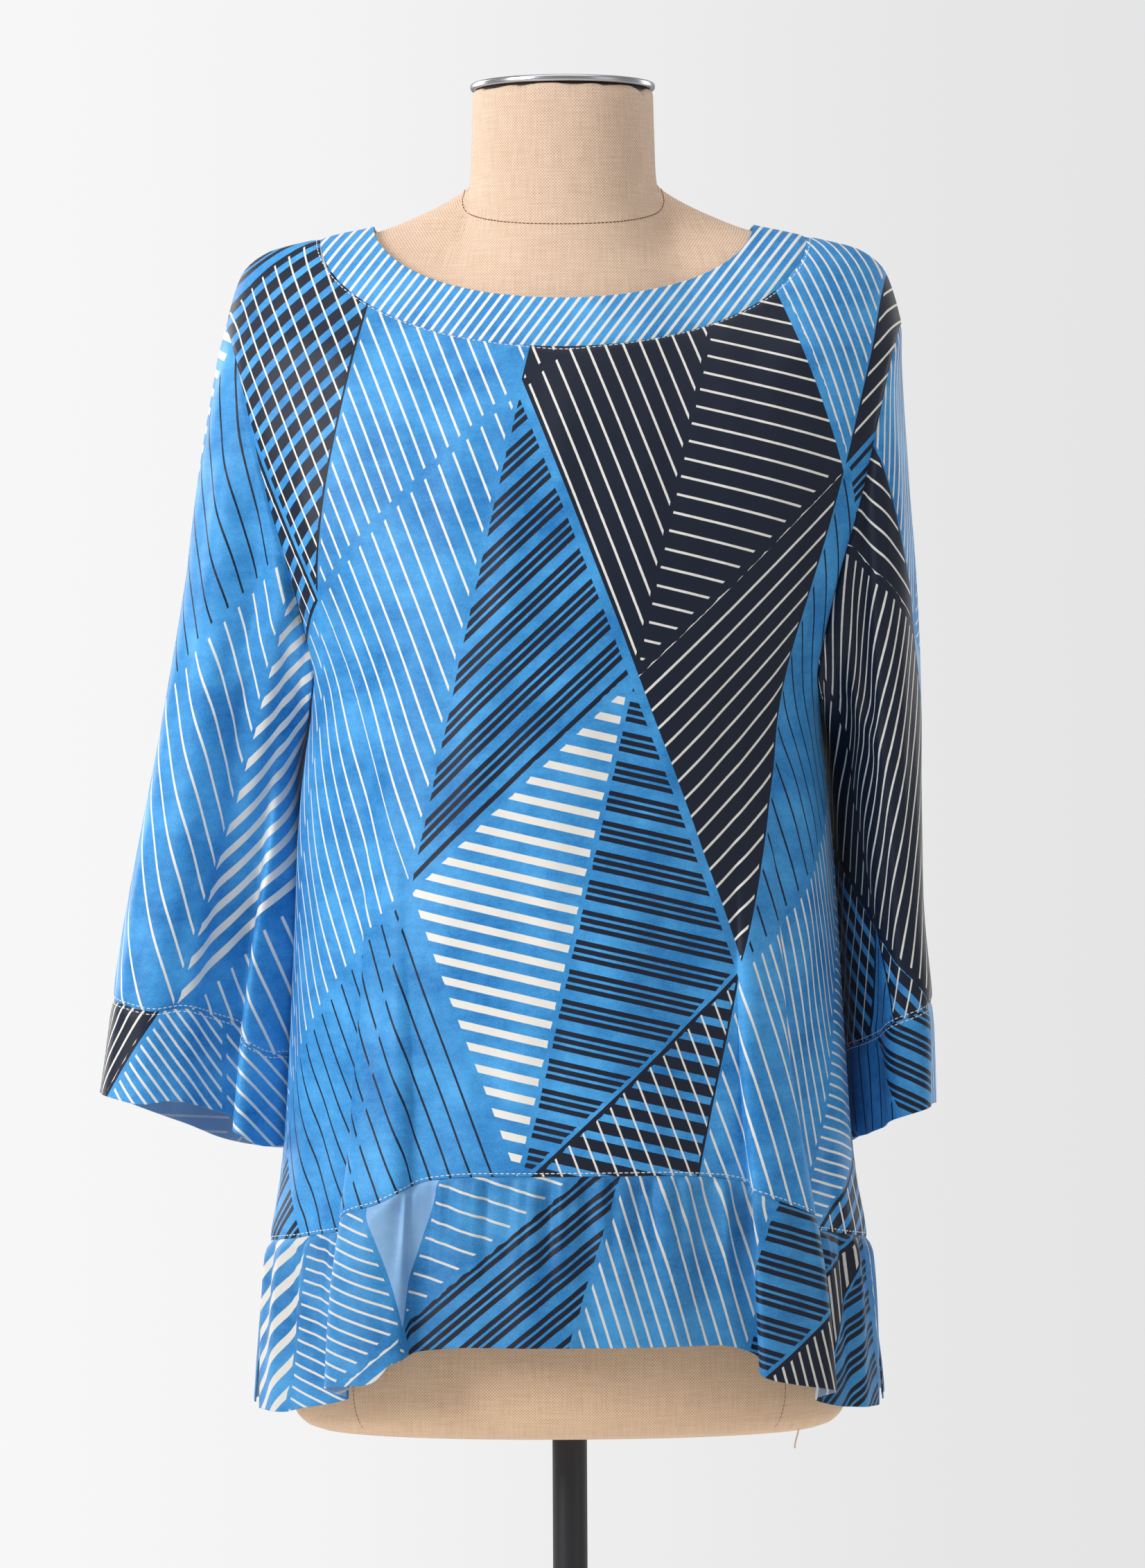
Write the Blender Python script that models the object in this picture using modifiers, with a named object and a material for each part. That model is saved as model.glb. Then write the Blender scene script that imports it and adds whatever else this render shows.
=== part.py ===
"""A printed tunic top with three-quarter sleeves, worn by a limbless linen dress form on a stand.

Metres, +Z up, the floor at z = 0 and the pole on the Z axis. The wearer faces -Y, and the
wearer's left is +X. Run it with: blender --background --python part.py
"""

import math
from collections import defaultdict, namedtuple

import bmesh
import bpy
import numpy as np

# Cloth
WALL = 0.0014  # thickness of every cloth wall
SEAM_PULL = 0.0002  # each side of a seam is drawn back by this, so pieces lie 0.4 mm apart
ARMHOLE_PULL = 0.0008  # a sleeve is drawn back further, where it turns sharply off the body
UNDERARM_PULL = 0.0030
MITRE_LIMIT = 0.72  # the least cosine that a wall's mitre at a seam or a crease makes up for
FRONT, BACK = -1, 1  # the sign of Y on each side of the body
WEARER_LEFT, WEARER_RIGHT = 1, -1  # the sign of X

# Heights above the floor
HEM_SIDE = 0.665
SEAM_SIDE = 0.765
UNDERARM = 1.104
SHOULDER_TIP = 1.3367
NECK_SEAM_TOP = 1.3915
NECK_EDGE_TOP = 1.3988

# How much higher the hem and the hem-band seam are at the middle than at the sides
RISE_POWER = 1.6
RiseRow = namedtuple("RiseRow", "across seam hem")
FRONT_RISE = [
    RiseRow(-1.000, 0.000, 0.000),
    RiseRow(-0.870, 0.060, 0.010),
    RiseRow(-0.715, 0.150, 0.030),
    RiseRow(-0.620, 0.216, 0.110),
    RiseRow(-0.465, 0.350, 0.290),
    RiseRow(-0.430, 0.540, 0.430),
    RiseRow(-0.390, 0.700, 0.520),
    RiseRow(-0.365, 0.800, 0.780),
    RiseRow(-0.290, 0.940, 0.950),
    RiseRow(-0.180, 0.990, 1.000),
    RiseRow(0.180, 0.995, 1.000),
    RiseRow(0.300, 0.965, 0.998),
    RiseRow(0.380, 0.900, 0.880),
    RiseRow(0.443, 0.735, 0.550),
    RiseRow(0.510, 0.450, 0.340),
    RiseRow(0.566, 0.284, 0.176),
    RiseRow(0.684, 0.190, 0.060),
    RiseRow(0.870, 0.070, 0.010),
    RiseRow(1.000, 0.000, 0.000),
]
HEM_RISE = {FRONT: 0.046, BACK: 0.030}
SEAM_RISE = {FRONT: 0.049, BACK: 0.034}

# The neckline, an ellipse seen from the front: half width at the shoulder, and drop to the middle
NECK_SEAM_HALF_WIDTH = 0.1515
NECK_EDGE_HALF_WIDTH = 0.118
NECK_SEAM_DROP = {FRONT: 0.0745, BACK: 0.0400}
NECK_EDGE_DROP = {FRONT: 0.0515, BACK: 0.0130}
DIP_POWER = 5  # how fast the neckline's dip fades out of the rows of the body below it
DIP_SHARPENING = 12  # how fast it narrows in them, so that no row runs out past the armhole

# Side slits: the front band turns in and the back band swings out towards the hem
SLIT_TUCK = {FRONT: 0.018, BACK: 0.001}
SLIT_REACH = 6

# How many quads each piece has
COLUMNS = {FRONT: 38, BACK: 28}
ROWS_BELOW_UNDERARM = 7
ROW_CROWDING = 1.35  # those rows draw closer together towards the underarm by this power
ROWS_ARMHOLE = 12
ROWS_SHOULDER = 4
ROWS_BAND = 4
ROWS_NECKBAND = 2
ROWS_SLEEVE = 15
ROWS_CUFF = 3
FORM_COLUMNS = 32

# Shape of a level section: an oval for trunk and shoulders, joined to the round of the neck
OVAL_POWER = 2.15
JOIN_POWER = 6

Section = namedtuple(
    "Section", "height half_width front back round_half_width round_front round_back"
)
NO_ROUND = (0.020, 0.010, 0.010)

CLOTH_SECTIONS = [
    Section(0.655, 0.1985, 0.152, 0.150, *NO_ROUND),
    Section(0.690, 0.1955, 0.150, 0.147, *NO_ROUND),
    Section(0.730, 0.1915, 0.148, 0.143, *NO_ROUND),
    Section(0.766, 0.1865, 0.146, 0.139, *NO_ROUND),
    Section(0.810, 0.1785, 0.144, 0.134, *NO_ROUND),
    Section(0.903, 0.1720, 0.141, 0.127, *NO_ROUND),
    Section(0.977, 0.1685, 0.139, 0.123, *NO_ROUND),
    Section(1.050, 0.1625, 0.138, 0.120, *NO_ROUND),
    Section(1.104, 0.1570, 0.137, 0.118, *NO_ROUND),
    Section(1.117, 0.1595, 0.137, 0.118, 0.020, 0.020, 0.020),
    Section(1.140, 0.1670, 0.135, 0.117, 0.030, 0.030, 0.030),
    Section(1.180, 0.1850, 0.130, 0.115, 0.050, 0.050, 0.050),
    Section(1.225, 0.2030, 0.120, 0.112, 0.070, 0.075, 0.075),
    Section(1.270, 0.2130, 0.106, 0.107, 0.090, 0.090, 0.090),
    Section(1.315, 0.2155, 0.0875, 0.097, 0.102, 0.086, 0.094),
    Section(1.3367, 0.2105, 0.0760, 0.0885, 0.098, 0.0815, 0.0910),
    Section(1.353, 0.2065, 0.0665, 0.0795, 0.091, 0.0775, 0.0870),
    Section(1.370, 0.2000, 0.0555, 0.0675, 0.083, 0.0735, 0.0825),
    Section(1.3825, 0.1850, 0.0450, 0.0560, 0.076, 0.0700, 0.0780),
    Section(1.3915, 0.1515, 0.0370, 0.0460, 0.071, 0.0675, 0.0745),
    Section(1.3988, 0.1180, 0.0325, 0.0410, 0.068, 0.0655, 0.0715),
    Section(1.4060, 0.0980, 0.0300, 0.0380, 0.066, 0.0640, 0.0690),
]

FORM_SECTIONS = [
    Section(0.6500, 0.1560, 0.0930, 0.1020, *NO_ROUND),
    Section(0.6530, 0.1640, 0.1000, 0.1095, *NO_ROUND),
    Section(0.6600, 0.1705, 0.1060, 0.1155, *NO_ROUND),
    Section(0.6740, 0.1745, 0.1100, 0.1195, *NO_ROUND),
    Section(0.7000, 0.1755, 0.1120, 0.1215, *NO_ROUND),
    Section(0.7600, 0.1735, 0.1130, 0.1220, *NO_ROUND),
    Section(0.8300, 0.1640, 0.1090, 0.1150, *NO_ROUND),
    Section(0.9100, 0.1410, 0.0980, 0.0980, *NO_ROUND),
    Section(0.9850, 0.1240, 0.0880, 0.0810, *NO_ROUND),
    Section(1.0500, 0.1320, 0.0980, 0.0840, *NO_ROUND),
    Section(1.1100, 0.1430, 0.1190, 0.0930, *NO_ROUND),
    Section(1.1550, 0.1510, 0.1275, 0.1000, 0.030, 0.030, 0.030),
    Section(1.2000, 0.1590, 0.1205, 0.1050, 0.050, 0.050, 0.050),
    Section(1.2500, 0.1720, 0.1065, 0.1030, 0.080, 0.080, 0.080),
    Section(1.3000, 0.1870, 0.0875, 0.0945, 0.100, 0.084, 0.091),
    Section(1.3325, 0.1965, 0.0725, 0.0845, 0.0955, 0.0785, 0.0875),
    Section(1.3495, 0.1980, 0.0630, 0.0755, 0.0885, 0.0745, 0.0835),
    Section(1.3662, 0.1940, 0.0520, 0.0635, 0.0805, 0.0705, 0.0785),
    Section(1.3787, 0.1785, 0.0413, 0.0518, 0.0735, 0.0670, 0.0740),
    Section(1.3883, 0.1478, 0.0334, 0.0419, 0.0687, 0.0647, 0.0707),
    Section(1.3956, 0.1150, 0.0290, 0.0370, 0.0655, 0.0626, 0.0676),
    Section(1.4030, 0.0955, 0.0270, 0.0345, 0.0630, 0.0610, 0.0647),
    Section(1.4115, 0.0772, 0.0260, 0.0330, 0.0608, 0.0597, 0.0620),
    Section(1.4200, 0.0630, 0.0250, 0.0310, 0.0592, 0.0588, 0.0600),
    Section(1.4320, 0.0500, 0.0200, 0.0240, 0.0578, 0.0577, 0.0580),
    Section(1.4500, 0.0300, 0.0100, 0.0100, 0.0572, 0.0572, 0.0572),
    Section(1.4770, 0.0300, 0.0100, 0.0100, 0.0565, 0.0565, 0.0565),
    Section(1.4815, 0.0300, 0.0100, 0.0100, 0.0553, 0.0553, 0.0553),
    Section(1.4829, 0.0300, 0.0100, 0.0100, 0.0530, 0.0530, 0.0530),
]

# Half width of the garment at the armhole seam, from the underarm up to the shoulder tip
ArmholeRow = namedtuple("ArmholeRow", "height half_width")
ARMHOLE = [
    ArmholeRow(1.1040, 0.1570),
    ArmholeRow(1.1150, 0.1562),
    ArmholeRow(1.1400, 0.1605),
    ArmholeRow(1.1800, 0.1700),
    ArmholeRow(1.2250, 0.1830),
    ArmholeRow(1.2700, 0.1935),
    ArmholeRow(1.3150, 0.2040),
    ArmholeRow(1.3367, 0.2105),
]

# How much of the panel's turn round the body the armhole cuts off, and how squarely
ARMHOLE_CUT = 0.18
ARMHOLE_CUT_POWER = 0.7

# Large hanging folds of the body. Places and widths are shares of a half panel, -1 and 1 being the
# side seams. A spread pushes a side of the ridge over the cloth beside it.
Fold = namedtuple("Fold", "at_hem at_start half_width height spread_minus spread_plus start")
FOLDS = {
    FRONT: [
        Fold(-0.390, -0.470, 0.056, 0.0185, 1.90, 0.80, 1.090),
        Fold(0.474, 0.480, 0.053, 0.0200, 1.60, 1.60, 1.110),
        Fold(0.020, 0.060, 0.200, 0.0045, 0.00, 0.00, 0.960),
        Fold(-0.770, -0.760, 0.085, 0.0060, 0.40, 0.40, 0.980),
        Fold(0.800, 0.780, 0.080, 0.0055, 0.30, 0.30, 0.950),
    ],
    BACK: [
        Fold(-0.540, -0.460, 0.090, 0.0150, 0.90, 1.15, 1.120),
        Fold(0.480, 0.400, 0.100, 0.0165, 1.20, 0.90, 1.140),
        Fold(-0.060, -0.020, 0.140, 0.0090, 0.50, 0.50, 1.040),
        Fold(0.820, 0.780, 0.080, 0.0060, 0.30, 0.30, 1.000),
    ],
}
OVERLAPPING = 1.0  # a spread over this turns the cloth back on itself
GATHERS = {FRONT: 19, BACK: 17}
GATHER_HEIGHT = 0.0016
GATHER_DRIFT = 0.32  # how unevenly the gathers are spaced, in gathers
GATHER_DRIFT_TURNS = 2.6

# A sleeve's sections, from the armhole to the cuff seam and the cuff's edge. The outer point
# faces away from the body and the inner point faces it; the tuck draws the back of the section
# in behind the body.
SleeveRow = namedtuple(
    "SleeveRow",
    "outer_height outer outer_back inner_height inner inner_back front back tuck",
)
SLEEVES = {
    WEARER_LEFT: [
        SleeveRow(1.3367, 0.2105, 0.000, 1.104, 0.1570, 0.000, 0.060, 0.060, 0.000),
        SleeveRow(1.3180, 0.2104, 0.001, 1.094, 0.1650, 0.006, 0.062, 0.065, 0.000),
        SleeveRow(1.2850, 0.2117, 0.003, 1.084, 0.1660, 0.018, 0.064, 0.068, 0.002),
        SleeveRow(1.2400, 0.2150, 0.005, 1.072, 0.1640, 0.030, 0.066, 0.070, 0.004),
        SleeveRow(1.1900, 0.2185, 0.007, 1.056, 0.1600, 0.040, 0.068, 0.070, 0.006),
        SleeveRow(1.1400, 0.2205, 0.008, 1.032, 0.1590, 0.048, 0.070, 0.070, 0.008),
        SleeveRow(1.0900, 0.2218, 0.009, 1.003, 0.1600, 0.052, 0.072, 0.068, 0.010),
        SleeveRow(1.0350, 0.2224, 0.010, 0.970, 0.1620, 0.055, 0.073, 0.067, 0.010),
        SleeveRow(0.9800, 0.2233, 0.010, 0.935, 0.1645, 0.058, 0.074, 0.066, 0.010),
        SleeveRow(0.9130, 0.2278, 0.010, 0.886, 0.1675, 0.060, 0.075, 0.065, 0.010),
        SleeveRow(0.8500, 0.2289, 0.010, 0.829, 0.1690, 0.062, 0.076, 0.066, 0.010),
    ],
    WEARER_RIGHT: [
        SleeveRow(1.3367, 0.2105, 0.000, 1.104, 0.1570, 0.000, 0.060, 0.060, 0.000),
        SleeveRow(1.3180, 0.2155, 0.001, 1.094, 0.1650, 0.006, 0.061, 0.064, 0.000),
        SleeveRow(1.2850, 0.2210, 0.002, 1.084, 0.1660, 0.018, 0.061, 0.066, 0.000),
        SleeveRow(1.2400, 0.2280, 0.003, 1.072, 0.1640, 0.031, 0.060, 0.066, 0.000),
        SleeveRow(1.1900, 0.2345, 0.004, 1.056, 0.1600, 0.043, 0.058, 0.064, 0.000),
        SleeveRow(1.1400, 0.2425, 0.005, 1.032, 0.1600, 0.052, 0.056, 0.060, 0.000),
        SleeveRow(1.0900, 0.2515, 0.006, 1.003, 0.1600, 0.056, 0.055, 0.056, 0.000),
        SleeveRow(1.0350, 0.2615, 0.006, 0.970, 0.1610, 0.060, 0.055, 0.054, 0.000),
        SleeveRow(0.9800, 0.2732, 0.006, 0.935, 0.1630, 0.063, 0.055, 0.052, 0.000),
        SleeveRow(0.9170, 0.2838, 0.006, 0.886, 0.1660, 0.066, 0.055, 0.050, 0.000),
        SleeveRow(0.8590, 0.2924, 0.006, 0.829, 0.1690, 0.068, 0.056, 0.050, 0.000),
    ],
}
CUFF_SEAM_SHARE = 0.9  # the cuff seam's place down the sleeve's rows
LIFT_POWER = 1.6  # a section rises towards its outer point by this power of the way out
BACK_DROP = 0.10  # how far a sleeve's end slopes down to the back, per metre of depth
MELTED_AT = 0.36  # the share of the rows by which the armhole's shape has become a plain oval
BODY_ROOM = 0.0065  # how far a sleeve stays off the side of the body
ROOM_FADE = 0.040  # the height under the arm over which that distance is reached
ROOM_SOFTNESS = 0.0012

# Folds along a sleeve: degrees round it from the outer point by way of the front, and shares of
# its length for where the fold starts and is full. The lean pushes its ridge round the sleeve.
SleeveFold = namedtuple("SleeveFold", "around half_width height lean start full")
SLEEVE_FOLDS = {
    WEARER_LEFT: [
        SleeveFold(62, 22, 0.0050, 0.000, 0.02, 0.25),
        SleeveFold(118, 18, -0.0050, 0.000, 0.04, 0.30),
        SleeveFold(235, 24, 0.0050, 0.000, 0.05, 0.40),
        SleeveFold(300, 24, -0.0045, 0.000, 0.10, 0.50),
    ],
    WEARER_RIGHT: [
        SleeveFold(48, 22, 0.0045, 0.000, 0.02, 0.25),
        SleeveFold(84, 14, -0.0060, 0.000, 0.10, 0.75),
        SleeveFold(112, 20, 0.0080, -0.009, 0.30, 0.95),
        SleeveFold(240, 26, 0.0055, 0.000, 0.05, 0.50),
        SleeveFold(305, 24, -0.0050, 0.000, 0.10, 0.60),
    ],
}

# The stand
CAP_RADIUS = 0.0577
CAP_BOTTOM = 1.4832
CAP_THICKNESS = 0.0042
POLE_RADIUS = 0.0108
POLE_TOP = 0.6497
BASE_RADIUS = 0.170
BASE_THICKNESS = 0.010
REST_GAP = 0.0003

LINEN = (0.62, 0.46, 0.31)
PRINT_BLUE = (0.15, 0.40, 0.78)
BAND_BLUE = (0.22, 0.47, 0.82)
STEEL = (0.55, 0.56, 0.58)
BLACK_PAINT = (0.02, 0.022, 0.026)


def smooth_table(rows):
    """A function of the first column that reads the others off a smooth curve through the rows.

    The curve never overshoots the rows: a slope is the harmonic mean of its two neighbours, and
    flat where they disagree in sign.
    """
    rows = sorted(rows)
    keys = np.array([row[0] for row in rows])
    values = np.array([row[1:] for row in rows])
    steps = np.diff(values, axis=0) / np.diff(keys)[:, None]
    slopes = np.zeros_like(values)
    slopes[0], slopes[-1] = steps[0], steps[-1]
    before, after = steps[:-1], steps[1:]
    agree = before * after > 0
    total = np.where(agree, before + after, 1.0)
    slopes[1:-1] = np.where(agree, 2 * before * after / total, 0.0)
    kind = type(rows[0])

    def read(key):
        key = min(max(key, keys[0]), keys[-1])
        index = min(int(np.searchsorted(keys, key, side="right")) - 1, len(keys) - 2)
        span = keys[index + 1] - keys[index]
        t = (key - keys[index]) / span
        found = (
            (1 + 2 * t) * (1 - t) ** 2 * values[index]
            + t * (1 - t) ** 2 * span * slopes[index]
            + t * t * (3 - 2 * t) * values[index + 1]
            + t * t * (t - 1) * span * slopes[index + 1]
        )
        return kind(key, *found)

    return read


def shared_rows(rows):
    """Rows keyed by their share of the way down a list, 0 the first and 1 the last."""
    kind = namedtuple("SharedRow", ("share",) + rows[0]._fields)
    return [kind(index / (len(rows) - 1), *row) for index, row in enumerate(rows)]


cloth_section = smooth_table(CLOTH_SECTIONS)
form_section = smooth_table(FORM_SECTIONS)
armhole_row = smooth_table(ARMHOLE)
front_rise = smooth_table(FRONT_RISE)
sleeve_row = {arm: smooth_table(shared_rows(rows)) for arm, rows in SLEEVES.items()}


def ease(value, low, high):
    """0 at low, 1 at high, and smooth between; low may be above high."""
    t = min(max((value - low) / (high - low), 0.0), 1.0)
    return t * t * (3 - 2 * t)


def unit(vector):
    return vector / max(np.linalg.norm(vector), 1e-9)


def oval(x, half_width, depth):
    """Depth of an oval at x, and 0 outside it."""
    return depth * max(0.0, 1 - abs(x / half_width) ** OVAL_POWER) ** (1 / OVAL_POWER)


def depth_at(section, x, side):
    """Y of a torso section at x, on its front or its back."""
    wide = oval(x, section.half_width, section.front if side == FRONT else section.back)
    near_neck = oval(
        x, section.round_half_width, section.round_front if side == FRONT else section.round_back
    )
    return side * (wide**JOIN_POWER + near_neck**JOIN_POWER) ** (1 / JOIN_POWER)


def edge_heights(side, across):
    """Heights of the hem-band seam and of the hem, which curve up to the middle. In front they are
    level at the middle and step down at the two flutes."""
    seam = hem = max(0.0, math.cos(math.pi / 2 * across)) ** RISE_POWER
    if side == FRONT:
        _, seam, hem = front_rise(across)
    return SEAM_SIDE + SEAM_RISE[side] * seam, HEM_SIDE + HEM_RISE[side] * hem


def side_half_width(height):
    """Half width of a body panel at its side seam, armhole or shoulder seam."""
    if UNDERARM < height < SHOULDER_TIP:
        return armhole_row(height).half_width
    return cloth_section(height).half_width


def body_base(side, across, up):
    """A point of a body panel before its folds. across runs from -1 to 1 between the side seams,
    and up from 0 at the hem-band seam to 1 at the neckline and shoulder."""
    low, _ = edge_heights(side, across)
    dip = max(0.0, math.cos(math.pi / 2 * across)) ** (1 + DIP_SHARPENING * (1 - up))
    height = low + (NECK_SEAM_TOP - low) * up
    height -= NECK_SEAM_DROP[side] * dip * up**DIP_POWER
    edge_height = SEAM_SIDE + (NECK_SEAM_TOP - SEAM_SIDE) * up
    up_armhole = min(max((edge_height - UNDERARM) / (SHOULDER_TIP - UNDERARM), 0.0), 1.0)
    turn = math.pi / 2 * (1 - ARMHOLE_CUT * math.sin(math.pi * up_armhole) ** ARMHOLE_CUT_POWER)
    x = side_half_width(edge_height) * math.sin(turn * across) / math.sin(turn)
    return np.array([x, depth_at(cloth_section(height), x, side), height])


def band_base(side, across, up):
    """A point of a hem band before its folds; up is 0 at the hem and 1 at its seam."""
    seam, hem = edge_heights(side, across)
    height = hem + (seam - hem) * up
    edge_height = HEM_SIDE + (SEAM_SIDE - HEM_SIDE) * up
    x = cloth_section(edge_height).half_width * math.sin(math.pi / 2 * across)
    point = np.array([x, depth_at(cloth_section(height), x, side), height])
    tuck = SLIT_TUCK[side] * (1 - up) * abs(across) ** SLIT_REACH
    point[0] -= math.copysign(tuck, across)
    return point


def neckband_point(side, across, up):
    """A point of the neckband; up is 0 at its seam and 1 at the neck edge."""
    turn = math.pi / 2 * across
    half_width = NECK_SEAM_HALF_WIDTH + (NECK_EDGE_HALF_WIDTH - NECK_SEAM_HALF_WIDTH) * up
    seam = NECK_SEAM_TOP - NECK_SEAM_DROP[side] * math.cos(turn)
    edge = NECK_EDGE_TOP - NECK_EDGE_DROP[side] * math.cos(turn)
    height = seam + (edge - seam) * up
    widest = cloth_section(NECK_SEAM_TOP + (NECK_EDGE_TOP - NECK_SEAM_TOP) * up).half_width
    x = min(half_width, widest) * math.sin(turn)
    return np.array([x, depth_at(cloth_section(height), x, side), height])


def gather(side, across, height):
    """How far the small gathers of a hem band stand out, full just under its seam."""
    seam, hem = edge_heights(side, across)
    share = (seam - height) / (seam - hem)
    strength = ease(share, 0.0, 0.10) * (1 - 0.75 * ease(share, 0.15, 1.0))
    drift = GATHER_DRIFT * math.sin(GATHER_DRIFT_TURNS * math.tau * across)
    return GATHER_HEIGHT * strength * math.cos(math.pi * (GATHERS[side] * across + drift))


def fold_shift(side, across, height):
    """How far the folds move a body point: outwards, and sideways in shares of a half panel."""
    outwards = sideways = 0.0
    for fold in FOLDS[side]:
        lowered = ease(height, fold.start, HEM_SIDE)
        place = fold.at_start + (fold.at_hem - fold.at_start) * lowered
        t = (across - place) / fold.half_width
        swell = math.exp(-(t**4)) * lowered
        outwards += fold.height * swell
        spread = fold.spread_minus if t < 0 else fold.spread_plus
        sideways += spread * fold.half_width * t * swell
    return outwards, sideways


def hung(base, side, across, share):
    """The point that base gives, moved by the body's folds, and the way out of the cloth there."""
    height = base(side, across, share)[2]
    outwards, sideways = fold_shift(side, across, height)
    point = base(side, min(max(across + sideways, -1.0), 1.0), share)
    point[2] = height
    step = 0.002
    along = base(side, min(across + step, 1.0), share) - base(side, max(across - step, -1.0), share)
    out = side * unit(np.array([-along[1], along[0], 0.0]))
    return point + out * outwards, out


def body_point(side, across, up):
    return hung(body_base, side, across, up)[0]


def band_point(side, across, up):
    point, out = hung(band_base, side, across, up)
    return point + out * gather(side, across, point[2])


def armhole_point(arm, side, around):
    """A point of the armhole seam; around is 0 at the shoulder tip and 180 degrees underarm."""
    middle, half = (SHOULDER_TIP + UNDERARM) / 2, (SHOULDER_TIP - UNDERARM) / 2
    height = middle + half * math.cos(math.radians(around))
    x = side_half_width(height)
    return np.array([arm * x, depth_at(cloth_section(height), x, side), height])


def sleeve_oval(arm, row, around):
    """A point of a plain sleeve section, around degrees from its outer point by the front."""
    outward = (1 + math.cos(math.radians(around))) / 2
    forward = math.sin(math.radians(around))
    x = row.inner + (row.outer - row.inner) * outward - row.tuck * max(0.0, -forward)
    y = row.inner_back + (row.outer_back - row.inner_back) * outward
    y -= forward * (row.front if forward > 0 else row.back)
    z = row.inner_height + (row.outer_height - row.inner_height) * outward**LIFT_POWER
    return np.array([arm * x, y, z])


def beside_body(point):
    """The point moved outwards, where it must be, to lie against the side of the body."""
    x, y, height = point
    section = cloth_section(height)
    depth = section.front if y < 0 else section.back
    if height >= UNDERARM or abs(y) >= depth:
        return point
    room = BODY_ROOM * ease(height, UNDERARM, UNDERARM - ROOM_FADE)
    least = section.half_width * (1 - (abs(y) / depth) ** OVAL_POWER) ** (1 / OVAL_POWER) + room
    over = abs(x) - least
    pushed = least + (over + math.hypot(over, 2 * ROOM_SOFTNESS)) / 2
    return np.array([math.copysign(pushed, x), y, height])


def sleeve_base(arm, around, share):
    """A sleeve point before its folds: the armhole's own shape melts into plain ovals."""
    point = sleeve_oval(arm, sleeve_row[arm](share), around)
    side = FRONT if around < 180 else BACK
    seam = armhole_point(arm, side, min(around, 360 - around))
    first = sleeve_oval(arm, sleeve_row[arm](0.0), around)
    point += (1 - ease(share, 0.0, MELTED_AT)) * (seam - first)
    point[2] -= BACK_DROP * ease(share, 0.2, 1.0) * point[1]
    return beside_body(point) if share > 0 else point


def sleeve_point(arm, around, share):
    """A point of a sleeve or its cuff, with its folds."""
    step = 1.0
    point = sleeve_base(arm, around, share)
    along = sleeve_base(arm, (around + step) % 360, share)
    along = along - sleeve_base(arm, (around - step) % 360, share)
    along = unit(along * (1, 1, 0))
    out = arm * np.array([-along[1], along[0], 0.0])
    for fold in SLEEVE_FOLDS[arm]:
        t = (around - fold.around) / fold.half_width
        swell = math.exp(-(t**4) / 2) * ease(share / CUFF_SEAM_SHARE, fold.start, fold.full)
        point = point + (out * fold.height + along * fold.lean) * swell
    return point


def crowded(side):
    """Places across a panel, closer together where the folds turn."""
    fine = np.linspace(-1, 1, 801)
    density = np.ones_like(fine)
    for fold in FOLDS[side]:
        overlaps = max(fold.spread_minus, fold.spread_plus) > OVERLAPPING
        reach = 1.35 * fold.half_width
        density += (3.2 if overlaps else 0.5) * np.exp(-(((fine - fold.at_hem) / reach) ** 4))
    total = np.concatenate([[0], np.cumsum((density[1:] + density[:-1]) / 2)])
    return np.interp(np.linspace(0, 1, COLUMNS[side] + 1), total / total[-1], fine)


def body_rows():
    """Shares of the height of a body panel's side for its rows, matching the sleeve's points."""
    steps = np.linspace(0, 1, ROWS_BELOW_UNDERARM + 1)
    low = SEAM_SIDE + (UNDERARM - SEAM_SIDE) * (1 - (1 - steps) ** ROW_CROWDING)
    turns = np.linspace(math.pi, 0, ROWS_ARMHOLE + 1)[1:]
    arm = (SHOULDER_TIP + UNDERARM) / 2 + (SHOULDER_TIP - UNDERARM) / 2 * np.cos(turns)
    slope = np.sin(np.linspace(0, math.pi / 2, ROWS_SHOULDER + 1)[1:])
    top = SHOULDER_TIP + (NECK_SEAM_TOP - SHOULDER_TIP) * slope
    return (np.concatenate([low, arm, top]) - SEAM_SIDE) / (NECK_SEAM_TOP - SEAM_SIDE)


def torso_grid(function, side, places, shares):
    """Rows of points from low to high, each from left to right as seen from outside."""
    ordered = places if side == FRONT else places[::-1]
    return np.array([[function(side, across, share) for across in ordered] for share in shares])


def sleeve_grid(arm, top, bottom, count):
    """Rows of points round a sleeve from the bottom up, from left to right as seen from outside."""
    arounds = np.linspace(0, 360, 2 * ROWS_ARMHOLE + 1)[::-arm]
    shares = np.linspace(bottom, top, count + 1)
    return np.array([[sleeve_point(arm, a % 360, share) for a in arounds] for share in shares])


def straight_between(grid):
    """The grid with each odd point of its top row halfway between its neighbours, where it is sewn
    to a piece with half as many columns."""
    made = grid.copy()
    made[-1, 1::2] = (grid[-1, :-1:2] + grid[-1, 2::2]) / 2
    return made


def body_grids():
    """The middle surface of each piece of the body."""
    grids = {}
    for side, word in ((FRONT, "front"), (BACK, "back")):
        places = crowded(side)
        finer = np.interp(np.arange(2 * COLUMNS[side] + 1) / 2, np.arange(len(places)), places)
        neckband_rows = np.linspace(0, 1, ROWS_NECKBAND + 1)
        band_rows = np.linspace(0, 1, ROWS_BAND + 1)
        grids[word] = torso_grid(body_point, side, places, body_rows())
        grids[f"neckband_{word}"] = torso_grid(neckband_point, side, places, neckband_rows)
        band = torso_grid(band_point, side, finer, band_rows)
        grids[f"hem_band_{word}"] = straight_between(band)
    return grids


def sleeve_grids():
    """The middle surface of each sleeve and cuff."""
    grids = {}
    for arm, word in ((WEARER_LEFT, "left"), (WEARER_RIGHT, "right")):
        grids[f"sleeve_{word}"] = sleeve_grid(arm, 0, CUFF_SEAM_SHARE, ROWS_SLEEVE)
        grids[f"cuff_{word}"] = sleeve_grid(arm, CUFF_SEAM_SHARE, 1, ROWS_CUFF)
    return grids


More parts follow.
